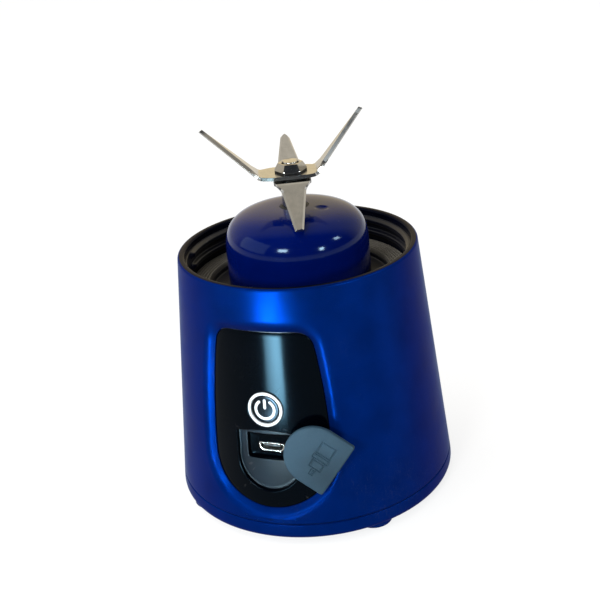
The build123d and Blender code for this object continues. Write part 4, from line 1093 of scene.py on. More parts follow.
# ---------------------------------------------------------------- dome
@dataclass
class MotorDome:
    """Glossy dome over the motor, with a pressed dimple, and the shaft seal in its top."""

    cone: Cone
    radius: float = 22.1
    shoulder: float = 2.75
    rise: float = 14.8
    power: float = 3.46
    wall: float = 2.0
    foot_drop: float = 13.1
    seal_radius: float = 4.5
    seal_depth: float = 3.0
    seal_squeeze: float = 0.06
    hub_radius: float = 3.5
    hub_play: float = 0.05
    dimple_circle: float = 9.1
    dimple_azimuth: float = 85.7
    dimple_radius: float = 2.0
    dimple_depth: float = 0.6
    dimple_spread: float = 1.05
    dimple_lip: tuple[float, float] = (-0.05, 0.12)

    def height(self, reach: Points, wall: float = 0.0) -> Points:
        """Height of the cap, a superellipse: rise times (1 - (reach / radius)^power)^(1 / power)."""
        share = np.clip(reach / (self.radius - wall), 0, 1)
        side = self.cone.rim_z - self.shoulder
        return side + (self.rise - wall) * (1 - share**self.power) ** (1 / self.power)

    def dome(self) -> Piece:
        """Closed lathe of the dome, pressed in at the dimple."""
        surface = Surface("dome_cover")
        azimuths = ring_of(320)
        low = self.cone.rim_z - self.foot_drop
        turn = np.linspace(0, math.pi / 2, 110)
        share = np.sin(turn) ** (2 / self.power)
        share = share[share * self.radius > self.seal_radius]
        reach = np.concatenate([[self.seal_radius], share * self.radius])
        cap = joined(reach, self.height(reach))
        skirt = joined(np.full(12, self.radius), np.linspace(cap[-1, 1], low, 13)[1:])
        top = lathe(np.concatenate([cap, skirt]), azimuths)
        centre = self.dimple_circle * bearing(math.radians(self.dimple_azimuth))
        away = np.hypot(top[..., 0] - centre[0], top[..., 1] - centre[1])
        bowl = np.clip(1 - (away / (self.dimple_radius * self.dimple_spread)) ** 2, 0, None)
        top[..., 2] -= self.dimple_depth * bowl * smooth(bowl, *self.dimple_lip)
        surface.grid(top)
        inner = np.linspace(self.radius - self.wall, self.seal_radius, 24)
        under = joined(inner, self.height(inner, self.wall))
        closing = np.concatenate([[[self.radius, low], [self.radius - self.wall, low]], under, cap[:1]])
        surface.grid(lathe(closing, azimuths))
        return surface.build(Body.BASE, DOME_NAVY, sharp=45)

    def seal(self) -> Piece:
        """Closed lathe of the shaft seal: a soft lip round the hub, sunk in the dome."""
        surface = Surface("shaft_lip_seal")
        top = float(self.height(np.array([0.0]))[0])
        low, outer = top - self.seal_depth, self.seal_radius - self.seal_squeeze
        bore = self.hub_radius + self.hub_play
        profile = soft_path([
            (bore, low, 0), (outer, low, 0), (outer, top - 0.1, 0.1), (bore + 0.4, top + 0.2, 0.15),
            (bore, top + 0.3, 0.1), (bore, low, 0),
        ], 5)
        surface.turned(profile, 128)
        return surface.build(Body.BASE, SHAFT_BLACK, "shaft_seal")

    def build(self) -> None:
        """Makes the dome and its seal; the dome's flange under the collar stays with the construction."""
        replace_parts(self.dome(), "motor_dome")
        self.seal()


# ---------------------------------------------------------------- blades
@dataclass(frozen=True)
class Arm:
    """One arm of a blade.

    Attributes:
        bend: distance from the axis to the bend.
        reach: distance from the axis to the tip.
        angle: bend angle in degrees, up if positive.
        root: half width at the bend.
        tip: half width at the tip.
        blunt: radius of the tip's corners.
    """

    bend: float
    reach: float
    angle: float
    root: float
    tip: float
    blunt: float = 0.3

    @property
    def rise(self) -> float:
        """Height gained from the bend to the tip."""
        return (self.reach - self.bend) * math.tan(math.radians(self.angle))


@dataclass
class SheetBlade:
    """Two-armed blade: a bent strip with ground edges.

    Attributes:
        name: piece name.
        node: node that it replaces.
        azimuth: direction of its first arm.
        low: height of its lower face.
        ahead, behind: its arms.
    """

    name: str
    node: str
    azimuth: float
    low: float
    ahead: Arm
    behind: Arm
    thickness: float = 1.1
    hub_half: float = 5.6
    bend_radius: float = 2.4
    edge: float = 0.3
    grind: float = 0.7
    slant: float = 0.0
    # Reach from the axis and uprightness of the faces that take the painted hub shade.
    shade_reach: float = 1.6
    shade_slope: float = 0.1
    hub_blend: float = 1.0
    waist: float = 2.4
    grind_start: float = 0.4
    grind_full: float = 2.6
    most_ground: float = 0.92

    def build(self) -> Piece:
        """Carries a six-sided section along the strip's middle line.

        The middle line is a soft path through both bends. The section's half width runs from the
        square hub to each tip, and its upper corners are ground down to a thin edge past each bend.
        """
        surface = Surface(self.name)
        ahead, behind = self.ahead, self.behind
        line = soft_path([
            (-behind.reach, behind.rise, 0), (-behind.bend, 0, self.bend_radius),
            (ahead.bend, 0, self.bend_radius), (ahead.reach, ahead.rise, 0),
        ], 14)
        line = resample(line, 321)
        along, upward = tangents(line)
        x = line[:, 0]
        arm_root = np.where(x > 0, ahead.root, behind.root)
        bend = np.where(x > 0, ahead.bend, behind.bend)
        reach = np.where(x > 0, ahead.reach, behind.reach)
        tip = np.where(x > 0, ahead.tip, behind.tip)
        taper = np.clip((np.abs(x) - bend) / (reach - bend), 0, 1)
        width = arm_root * (1 - taper) + tip * taper
        blunt = np.where(x > 0, ahead.blunt, behind.blunt)
        into = np.clip(1 - (reach - np.abs(x)) / blunt, 0, 1)
        width = width - blunt * (1 - np.sqrt(1 - into**2))
        spread = 1 - smooth(np.abs(x), self.hub_half - self.hub_blend, bend + self.waist)
        width = width + np.clip(self.hub_half - width, 0, None) * spread
        ground = smooth(np.abs(x), bend + self.grind_start, bend + self.grind_full)
        grind = np.minimum(self.grind * ground, width * self.most_ground)
        half = self.thickness / 2
        thin = self.thickness * (1 - ground) + self.edge * ground
        section = [
            (-width, -half + 0 * x), (-width, -half + thin), (-width + grind * 0.98 + 0.02, half + 0 * x),
            (0 * x, half + 0 * x), (width - grind * 0.98 - 0.02, half + 0 * x), (width, -half + thin),
            (width, -half + 0 * x), (0 * x, -half + 0 * x),
        ]
        azimuth = math.radians(self.azimuth)
        out = bearing(azimuth)
        side = np.array([math.cos(azimuth), math.sin(azimuth), 0.0])
        middle = self.low + half
        slant = taper * np.sign(x)
        loops = []
        for across, high in section:
            shift = -across * slant * np.abs(slant) * self.slant
            reach_out = x + along[:, 0] * shift + upward[:, 0] * high
            height = line[:, 1] + along[:, 1] * shift + upward[:, 1] * high + middle
            loops.append(reach_out[:, None] * out + across[:, None] * side + height[:, None] * [0, 0, 1])
        surface.rod(np.stack(loops, 1))
        piece = surface.build(Body.ROTOR, BLADE_STEEL, self.node, sharp=18)
        dark = max(ahead.bend, behind.bend) + self.shade_reach

        def cut(middle: Points, normal: Points) -> Points:
            """Upright faces near the hub, which take the dark steel that paints the shade there."""
            return (np.abs(normal[:, 2]) < self.shade_slope) & (np.abs(middle[:, :2] @ out[:2]) < dark)

        # Painted shade: upright faces near the hub get a dark steel.
        dress(piece, HUB_SHADE_STEEL, cut)
        return piece


@dataclass
class BladeStack:
    """Hub, blades, washer and nut on the motor's shaft."""

    cone: Cone
    seat: float = 20.3
    hub_radius: float = 3.5
    flange_radius: float = 5.0
    flange: float = 1.0
    thickness: float = 1.1
    gap: float = 0.5
    washer_radius: float = 4.6
    stud_radius: float = 2.5
    stud_flat: float = 2.0
    nut_flats: float = 8.8
    nut_height: float = 2.8
    nut_skirt: float = 0.6
    nut_lean: float = 0.26
    nut_edge: float = 0.12
    nut_round: float = 1.11
    nut_turn: float = 30.0
    # Uprightness of the nut's skirt faces that take the painted shade.
    shade_slope: float = 0.2
    play: float = 0.1
    proud: float = 0.4
    front_azimuth: float = 24.0

    def hub(self) -> Piece:
        """Closed lathe of the hub sleeve, its flange and the stud with two flats."""
        surface = Surface("blade_hub_sleeve")
        seat = self.cone.rim_z + self.seat
        top = seat + 2 * self.thickness + self.gap + self.nut_height + self.proud
        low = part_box("blade_hub")[0].z / MM
        profile = soft_path([
            (0.0, low, 0), (self.hub_radius, low, 0.2), (self.hub_radius, seat - self.flange - 0.3, 0.3),
            (self.flange_radius, seat - self.flange, 0.2), (self.flange_radius, seat - 0.02, 0.1),
            (self.stud_radius, seat - 0.02, 0), (self.stud_radius, top, 0.25), (0.0, top, 0),
        ], 5)
        turned = lathe(profile, ring_of(120))
        azimuth = math.radians(self.front_azimuth)
        side = np.array([math.cos(azimuth), math.sin(azimuth), 0.0])
        across = turned @ side
        limit = np.where(turned[..., 2] > seat, self.stud_flat, self.flange_radius * 2)
        over = np.clip(np.abs(across) - limit, 0, None) * np.sign(across)
        surface.grid(turned - over[..., None] * side)
        return surface.build(Body.ROTOR, NUT_STEEL, "blade_hub", sharp=35)

    def washer(self) -> Piece:
        """Closed lathe of the spacer washer."""
        surface = Surface("blade_washer")
        low = self.cone.rim_z + self.seat + self.thickness + 0.01
        profile = soft_path([
            (self.stud_radius + self.play, low, 0), (self.washer_radius, low, 0.12),
            (self.washer_radius, low + self.gap - 0.02, 0.12),
            (self.stud_radius + self.play, low + self.gap - 0.02, 0), (self.stud_radius + self.play, low, 0),
        ], 4)
        surface.turned(profile, 96)
        return surface.build(Body.ROTOR, WASHER_BLACK, "blade_spacer")

    def nut(self) -> Piece:
        """Closed hexagon nut whose flats lean in above a low skirt.

        At each azimuth the radius is half the width across flats over the cosine of the angle to
        the nearest flat, times one minus the lean, which grows evenly from the skirt to the top.
        """
        surface = Surface("blade_nut_hex")
        low = self.cone.rim_z + self.seat + 2 * self.thickness + self.gap + 0.01
        azimuths = ring_of(240)
        part = (azimuths - math.radians(self.front_azimuth + self.nut_turn) + TURN) % (TURN / 6) - TURN / 12
        flat = self.nut_flats / 2
        hexagon = flat / np.cos(part)
        heights = np.concatenate([
            [0, 0.02], np.linspace(0.05, self.nut_height - 0.05, 26), [self.nut_height],
        ])
        lean = np.clip((heights - self.nut_skirt) / (self.nut_height - self.nut_skirt), 0, 1)
        edge = self.nut_edge * (heights > self.nut_height - 0.02)
        radius = hexagon[None, :] * (1 - self.nut_lean * lean[:, None]) - edge[:, None]
        radius = np.minimum(radius, flat * self.nut_round)
        bore = np.full((1, len(azimuths)), self.stud_radius + 0.12)
        radius = np.concatenate([bore, bore + 0.35, radius, bore + 0.35, bore, bore])
        high = np.concatenate([[0.3, 0.0], heights, [self.nut_height, self.nut_height - 0.3, 0.3]])
        height = (high + low)[:, None] + 0 * radius
        surface.grid(joined(radius * np.sin(azimuths), -radius * np.cos(azimuths), height))
        piece = surface.build(Body.ROTOR, NUT_STEEL, "blade_nut", sharp=24)
        skirt = low + self.nut_skirt

        def upright(middle: Points, normal: Points) -> Points:
            """Upright faces of the skirt, which take the dark steel that paints the shade there."""
            return (np.abs(normal[:, 2]) < self.shade_slope) & (middle[:, 2] < skirt)

        # Painted shade: the skirt's upright faces get a dark steel under the nut's bright top.
        dress(piece, HUB_SHADE_STEEL, upright)
        return piece

    def build(self) -> None:
        """Makes the whole stack."""
        seat = self.cone.rim_z + self.seat
        self.hub()
        SheetBlade(
            "blade_low", "lower_blade", self.front_azimuth, seat,
            Arm(6.2, 20.0, -36.0, 4.1, 1.25), Arm(6.4, 20.0, 31.0, 4.1, 1.25, 1.1), grind=0.55, slant=0.15,
        ).build()
        self.washer()
        SheetBlade(
            "blade_high", "upper_blade", self.front_azimuth + 90, seat + self.thickness + self.gap,
            Arm(7.6, 22.2, 50.5, 3.7, 0.7), Arm(9.6, 25.2, 44.5, 3.7, 0.7), grind=0.9, slant=0.8,
        ).build()
        self.nut()


# ---------------------------------------------------------------- front panel
def straight_loop(corners: Corners, count: int = 480) -> Loop:
    """Closed outline through rounded corners, spread evenly; starts between the first two corners."""
    first, second = np.array(corners[0][:2]), np.array(corners[1][:2])
    middle = (first + second) / 2
    path = soft_path([(*middle, 0), *corners[1:], corners[0], (*middle, 0)], 8)
    return resample(path, count + 1)[:-1]


@dataclass(frozen=True)
class PortForm:
    """Outlines round the charging port, on the panel's plane.

    Attributes:
        seat_half_width, seat_side_top, seat_crown, seat_centre: outline of the flap's seat.
        seat_corner, seat_corner_run: radius and width of its upper corners.
        pivot: where the flap's stem goes through the panel.
        relief: radius of the notch round the stem.
        pocket_half_width, pocket_low, pocket_high, pocket_corner: outline of the port's pocket.
        height, width, thickness, chamfer: outline of the port's metal shell.
    """

    seat_half_width: float = 9.75
    seat_side_top: float = 5.3
    seat_crown: float = 0.9
    seat_centre: float = -3.4
    seat_corner: float = 0.5
    seat_corner_run: float = 0.35
    pivot: tuple[float, float] = (8.5, -5.5)
    relief: float = 2.2
    pocket_half_width: float = 6.9
    pocket_low: float = -3.5
    pocket_high: float = 4.5
    pocket_corner: float = 0.8
    height: float = -0.5
    width: float = 8.0
    thickness: float = 2.7
    chamfer: float = 1.1

    @property
    def centre(self) -> tuple[float, float]:
        """Point that every outline is matched about."""
        return (0.0, self.height)

    def seat(self) -> Loop:
        """Round below, straight sides, a soft dip and crown on top, and the stem's notch."""
        wide, top, run = self.seat_half_width, self.seat_side_top, self.seat_corner_run
        low = arc((0, self.seat_centre), wide, 180, 360, 220)
        across = np.linspace(wide - run, -wide + run, 140)
        wave = top + self.seat_crown * np.cos(across / wide * math.pi / 2) ** 1.5
        lid = joined(across, wave)
        turn = soft_path([(wide, top - 1.0, 0), (wide, top, self.seat_corner), (wide - run, wave[0], 0)], 6)
        other = turn[::-1] * [-1, 1]
        outline = resample(np.concatenate([low, turn, lid[1:-1], other, low[:1]]), 900)[:-1]
        offset = outline - np.array(self.centre)
        reach = np.linalg.norm(offset, axis=1)
        way = offset / reach[:, None]
        pivot = np.array(self.pivot) - np.array(self.centre)
        along = way @ pivot
        beside = pivot @ pivot - along**2
        notch = along + np.sqrt(np.clip(self.relief**2 - beside, 0, None))
        notch = np.where((beside < self.relief**2) & (along > 0), notch, 0)
        return np.array(self.centre) + way * np.maximum(reach, notch)[:, None]

    def pocket(self) -> Loop:
        """Rounded rectangle."""
        wide, corner = self.pocket_half_width, self.pocket_corner
        low, high = self.pocket_low, self.pocket_high
        return straight_loop([
            (-wide, low, corner), (wide, low, corner), (wide, high, corner), (-wide, high, corner),
        ])

    def shell(self) -> Loop:
        """Wide above, with slanting lower corners."""
        wide, cut = self.width / 2, self.chamfer
        low, high = self.height - self.thickness / 2, self.height + self.thickness / 2
        return straight_loop([
            (-wide + cut, low, 0.35), (wide - cut, low, 0.35), (wide, low + cut, 0.35), (wide, high, 0.3),
            (-wide, high, 0.3), (-wide, low + cut, 0.35),
        ])


@dataclass
class FrontPanel:
    """Glossy inset panel: button hole above, and the flap's seat, pocket and port below."""

    cone: Cone
    form: PanelForm
    port: PortForm
    recess: float = 1.8
    wall: float = 1.6
    split: float = 6.85
    edge_round: float = 0.3
    button_height: float = 12.95
    ring_hole: float = 5.42
    button_hole: float = 4.42
    ring_depth: float = 1.2
    seat_depth: float = 1.3
    seat_back: float = 5.2
    pocket_depth: float = 5.4
    pocket_wall: float = 1.5
    rows: int = 14

    def parted(self, margin: float) -> tuple[Loop, Loop, Loop]:
        """Outline at a margin, parted at the split height.

        Returns:
            The upper part from right to left, the lower part from left to right, and the line
            between them from right to left, whose ends both parts share.
        """
        outline = grown(self.form.outline()[::2], margin)
        above = outline[:, 1] > self.split
        start = int(np.argmax(above))
        upper = np.roll(outline, -start, 0)[: int(above.sum())]
        lower = np.roll(outline, -start - int(above.sum()), 0)[: int((~above).sum())]

        def crossing(a: Points, b: Points) -> Points:
            """Point between two points at the split height."""
            share = (self.split - a[1]) / (b[1] - a[1])
            return a + (b - a) * share

        right, left = crossing(lower[-1], upper[0]), crossing(upper[-1], lower[0])
        line = np.linspace(right, left, 64)
        upper = np.concatenate([[right], upper, [left]])
        lower = np.concatenate([[left], lower, [right]])
        return upper, lower, line

    def upper_loop(self, margin: float) -> Loop:
        """Closed outline of the area above the split."""
        upper, _, line = self.parted(margin)
        return np.concatenate([upper, line[::-1][1:-1]])

    def lower_loop(self, margin: float) -> Loop:
        """Closed outline of the area below the split."""
        _, lower, line = self.parted(margin)
        return np.concatenate([lower, line[1:-1]])

    def stretch(self, inner: Loop, outer: Loop, inset: float) -> list[Points]:
        """Loops from an inner to an outer outline along the cone, both ends left out."""
        shares = np.linspace(0, 1, self.rows)[1:-1] ** 1.4
        return [self.cone.at(inner * (1 - s) + outer * s, inset) for s in shares]

    def button_area(self) -> list[Points]:
        """Loops of the upper area: front face, stepped button hole, back face."""
        cone, face = self.cone, self.recess
        front, rear = self.upper_loop(-self.edge_round), self.upper_loop(0.0)
        middle = (0.0, self.button_height)
        angles = angles_about(front, middle)
        ring = unit(angles)

        def circle(radius: float) -> Loop:
            """Circle about the button."""
            return np.array(middle) + radius * ring

        back = face + self.wall
        steps = [
            (self.ring_hole + 0.18, face), (self.ring_hole + 0.05, face + 0.05),
            (self.ring_hole, face + 0.18), (self.ring_hole, face + self.ring_depth),
            (self.button_hole, face + self.ring_depth), (self.button_hole, back),
        ]
        loops = [cone.at(front, face)]
        loops += self.stretch(circle(steps[0][0]), front, face)[::-1]
        loops += [cone.at(circle(radius), inset) for radius, inset in steps]
        loops += self.stretch(circle(self.button_hole), rear, back)
        return loops + [cone.at(rear, back)]

    def port_area(self) -> list[Points]:
        """Loops of the lower area: front face, seat, pocket, port hole, and the backs of all three."""
        cone, face, port = self.cone, self.recess, self.port
        front, rear = self.lower_loop(-self.edge_round), self.lower_loop(0.0)
        angles = angles_about(front, port.centre)

        def matched(outline: Loop, margin: float) -> Loop:
            """An outline at a margin, with one point for each angle."""
            return by_angle(grown(outline, margin), port.centre, angles)

        floor, back = face + self.seat_depth, face + self.wall
        seat, pocket, shell = port.seat(), port.pocket(), port.shell()
        loops = [cone.at(front, face)]
        loops += self.stretch(matched(seat, 0.45), front, face)[::-1]
        loops += [
            cone.at(matched(seat, margin), inset)
            for margin, inset in (
                (0.45, face), (0.26, face + 0.04), (0.12, face + 0.14), (0.04, face + 0.28),
                (0.0, face + 0.45), (0.0, floor - 0.3), (-0.06, floor - 0.1), (-0.25, floor),
            )
        ]
        loops += self.stretch(matched(pocket, 0.4), matched(seat, -0.25), floor)[::-1]
        loops += [
            cone.at(matched(pocket, margin), floor + step)
            for margin, step in ((0.4, 0.0), (0.22, 0.04), (0.08, 0.14), (0.0, 0.35))
        ]
        deep = self.pocket_depth
        loops += [
            cone.plane(matched(outline, margin), -depth)
            for outline, margin, depth in (
                (pocket, 0.0, deep - 0.3), (pocket, -0.08, deep - 0.06), (pocket, -0.3, deep),
                (shell, 0.5, deep), (shell, 0.12, deep), (shell, 0.1, deep + self.pocket_wall),
                (pocket, self.pocket_wall, deep + self.pocket_wall),
                (pocket, self.pocket_wall, self.seat_back), (seat, 0.5, self.seat_back),
            )
        ]
        loops += [cone.at(matched(seat, 0.5), back)]
        loops += self.stretch(matched(seat, 0.5), rear, back)
        return loops + [cone.at(rear, back)]

    def build(self) -> Piece:
        """Makes the closed panel: two areas joined along the split, and the outer edge."""
        surface = Surface("panel_inset")
        surface.loops(self.button_area())
        surface.loops(self.port_area())
        upper_front, lower_front, _ = self.parted(-self.edge_round)
        upper_rear, lower_rear, _ = self.parted(0.0)
        near, far = self.recess, self.recess + self.wall
        for front, rear in ((upper_front, upper_rear), (lower_front, lower_rear)):
            turns = np.radians([30.0, 60.0, 90.0])
            rows = [self.cone.at(front, near)]
            for turn in turns:
                flat = front + (rear - front) * math.sin(turn)
                rows.append(self.cone.at(flat, near + self.edge_round * (1 - math.cos(turn))))
            rows.append(self.cone.at(rear, far))
            surface.grid(np.stack(rows), False)
        piece = surface.build(Body.BASE, PANEL_BLACK, "front_panel")
        floor = self.recess + self.seat_depth
        highest = self.cone.plane(np.array([[0.0, self.split]]), 0.0)[0, 2]

        def seat_floor(middle: Points, normal: Points) -> Points:
            """Faces of the seat's floor, which look outwards at its depth; they take a satin finish whose
            lighter colour paints the reflection there.
            """
            depth = self.cone.radius(middle[:, 2]) - np.hypot(middle[:, 0], middle[:, 1])
            return (np.abs(depth - floor) < 0.25) & (normal[:, 1] < -0.5) & (middle[:, 2] < highest)

        # Satin finish on the seat floor, with a lighter colour that paints its reflection.
        dress(piece, SEAT_SATIN_SHEEN, seat_floor)
        return piece


@dataclass
class PowerButton:
    """Button with its white light ring and the inlaid power symbol."""

    cone: Cone
    height: float = 12.95
    recess: float = 1.8
    ring_radius: float = 5.35
    ring_width: float = 0.85
    ring_proud: float = 0.1
    ring_depth: float = 1.15
    radius: float = 4.3
    drop: float = 0.05
    dish: float = 0.12
    back: float = 4.5
    flange: float = 0.85
    face_edge: float = 0.25
    symbol_radius: float = 2.85
    stroke: float = 0.85
    gap_angle: float = 64.0
    symbol_proud: float = 0.03

    def turned(self, profile: list[tuple[float, float]], count: int = 144) -> list[Points]:
        """Loops of a profile (radius, inset) turned about the button's own axis."""
        circle = unit(ring_of(count))
        return [self.cone.at(np.array([0.0, self.height]) + r * circle, i) for r, i in profile]

    def ring(self) -> Piece:
        """Closed ring with soft outer and inner edges."""
        surface = Surface("button_light_ring")
        top, inner = self.recess - self.ring_proud, self.ring_radius - self.ring_width
        low = self.recess + self.ring_depth
        profile = [
            (self.ring_radius, low), (self.ring_radius, top + 0.15), (self.ring_radius - 0.05, top + 0.03),
            (self.ring_radius - 0.16, top), (inner + 0.16, top), (inner + 0.05, top + 0.03),
            (inner, top + 0.15), (inner, low), (self.ring_radius, low),
        ]
        surface.loops(self.turned(profile))
        return surface.build(Body.BASE, LIGHT_WHITE, "button_ring")

    def face_inset(self, reach: Points | float) -> Points | float:
        """Inset of the button's dished face at a distance from its middle."""
        return self.recess + self.drop + self.dish * (1 - (np.asarray(reach) / self.radius) ** 2)

    def button(self) -> Piece:
        """Closed button: dished face, soft edge, flange and back."""
        surface = Surface("button_cap")
        face = [(r, float(self.face_inset(r))) for r in np.linspace(0.02, self.radius - self.face_edge, 12)]
        edge = float(self.face_inset(self.radius - self.face_edge))
        profile = face + [
            (self.radius - 0.08, edge + 0.05), (self.radius, edge + 0.22), (self.radius, self.back - 0.8),
            (self.radius + self.flange, self.back - 0.75), (self.radius + self.flange, self.back),
            (0.02, self.back),
        ]
        surface.rod(self.turned(profile))
        return surface.build(Body.BUTTON, BUTTON_BLACK, "power_button")

    def stroke_loops(self, line: Points, half: Points) -> list[Points]:
        """Stroke along a line in the panel's plane, with a flat top and soft sides, round at its ends.

        Each row is the same section across the line; half holds the half width at each point.
        """
        _, aside = tangents(line)
        middle = np.array([0.0, self.height])
        columns = []
        for share, depth in (
            (1, 0.5), (1, 0.03), (0.93, 0.0), (0.4, 0), (-0.4, 0), (-0.93, 0), (-1, 0.03), (-1, 0.5),
        ):
            flat = line + aside * (half * share)[:, None]
            reach = np.linalg.norm(flat, axis=1)
            columns.append(self.cone.at(flat + middle, self.face_inset(reach) - self.symbol_proud + depth))
        return columns

    def capsule(self, line: Points) -> Points:
        """Grid of a stroke whose width closes as a half circle at both ends."""
        whole, half = lengths(line)[-1], self.stroke / 2
        ends = half * (1 - np.cos(np.linspace(0, math.pi / 2, 9)))
        spots = np.concatenate([ends, np.linspace(half, whole - half, 40)[1:-1], whole - ends[::-1]])
        near = np.minimum(spots, whole - spots)
        width = np.sqrt(np.clip(half**2 - np.clip(half - near, 0, None) ** 2, 1e-4, None))
        return np.stack(self.stroke_loops(spaced(line, spots), width), 1)

    def symbol(self) -> Piece:
        """Open ring and upright bar."""
        surface = Surface("button_symbol")
        gap = math.degrees(self.stroke / 2 / self.symbol_radius)
        start, end = 90 + self.gap_angle / 2 - gap / 2, 450 - self.gap_angle / 2 + gap / 2
        bar = np.linspace([0, 0.15], [0, self.symbol_radius + self.stroke / 2], 60)
        for line in (arc((0, 0), self.symbol_radius, start, end, 200), bar):
            surface.rod(self.capsule(line))
        return surface.build(Body.BUTTON, LIGHT_WHITE, "power_symbol", sharp=60)

    def build(self) -> None:
        """Makes ring, button and symbol."""
        self.ring()
        self.button()
        self.symbol()


@dataclass
class ChargePort:
    """Metal shell of the port with its tongue and contacts."""

    cone: Cone
    form: PortForm
    front: float = 5.2
    length: float = 5.5
    wall: float = 0.3
    lip: float = 0.45
    tongue_width: float = 5.2
    tongue_thickness: float = 0.7
    tongue_recess: float = 0.4
    contact_count: int = 5

    def level(self, outline: Loop, margin: float, depth: float) -> Points:
        """Outline at a margin, behind the panel's plane at a depth."""
        return self.cone.plane(grown(outline, margin), -depth)

    def shell(self) -> Piece:
        """Closed tube whose mouth is rounded and slightly flared."""
        surface, outline = Surface("port_shell"), self.form.shell()
        back = self.front + self.length
        rows = [
            (0.0, back), (0.0, self.front + 0.14), (-0.05, self.front + 0.03), (-0.16, self.front),
            (-0.34, self.front + 0.03), (-0.42, self.front + 0.12), (-self.lip, self.front + 0.3),
            (-self.lip, self.front + 0.8), (-self.wall, self.front + 1.2), (-self.wall, back), (0.0, back),
        ]
        surface.loops([self.level(outline, margin, depth) for margin, depth in rows])
        return surface.build(Body.BASE, PORT_STEEL, "usb_shell", sharp=60)

    def tongue(self) -> Piece:
        """Back wall and tongue, each a rounded block."""
        surface, outline = Surface("port_tongue"), self.form.shell()
        back = self.front + self.length
        plug = [self.level(outline, -self.wall - 0.01, depth) for depth in (back, back - 1.4)]
        surface.rod(plug)
        wide, high = self.tongue_width / 2, self.tongue_thickness
        low = self.form.height
        slab = straight_loop(
            [(-wide, low, 0.15), (wide, low, 0.15), (wide, low + high, 0.15), (-wide, low + high, 0.15)], 96
        )
        tip = self.front + self.tongue_recess
        rows = [
            self.level(slab, 0.0, back - 1.0), self.level(slab, 0.0, tip + 0.1), self.level(slab, -0.1, tip),
        ]
        surface.rod(rows)
        return surface.build(Body.BASE, PORT_BLACK, "usb_tongue")

    def contacts(self) -> Piece:
        """Thin contact strips under the tongue."""
        surface = Surface("port_contacts")
        pitch = self.tongue_width / (self.contact_count + 1)
        low = self.form.height
        for spot in (np.arange(self.contact_count) - (self.contact_count - 1) / 2) * pitch:
            strip = straight_loop([
                (spot - 0.2, low - 0.06, 0.03), (spot + 0.2, low - 0.06, 0.03),
                (spot + 0.2, low + 0.05, 0.03), (spot - 0.2, low + 0.05, 0.03),
            ], 32)
            far, near = self.front + self.length - 1.6, self.front + 0.8
            surface.rod([self.level(strip, 0.0, depth) for depth in (far, near)])
        return surface.build(Body.BASE, BRONZE)

    def build(self) -> None:
        """Makes shell, tongue and contacts."""
        self.shell()
        self.tongue()
        self.contacts()


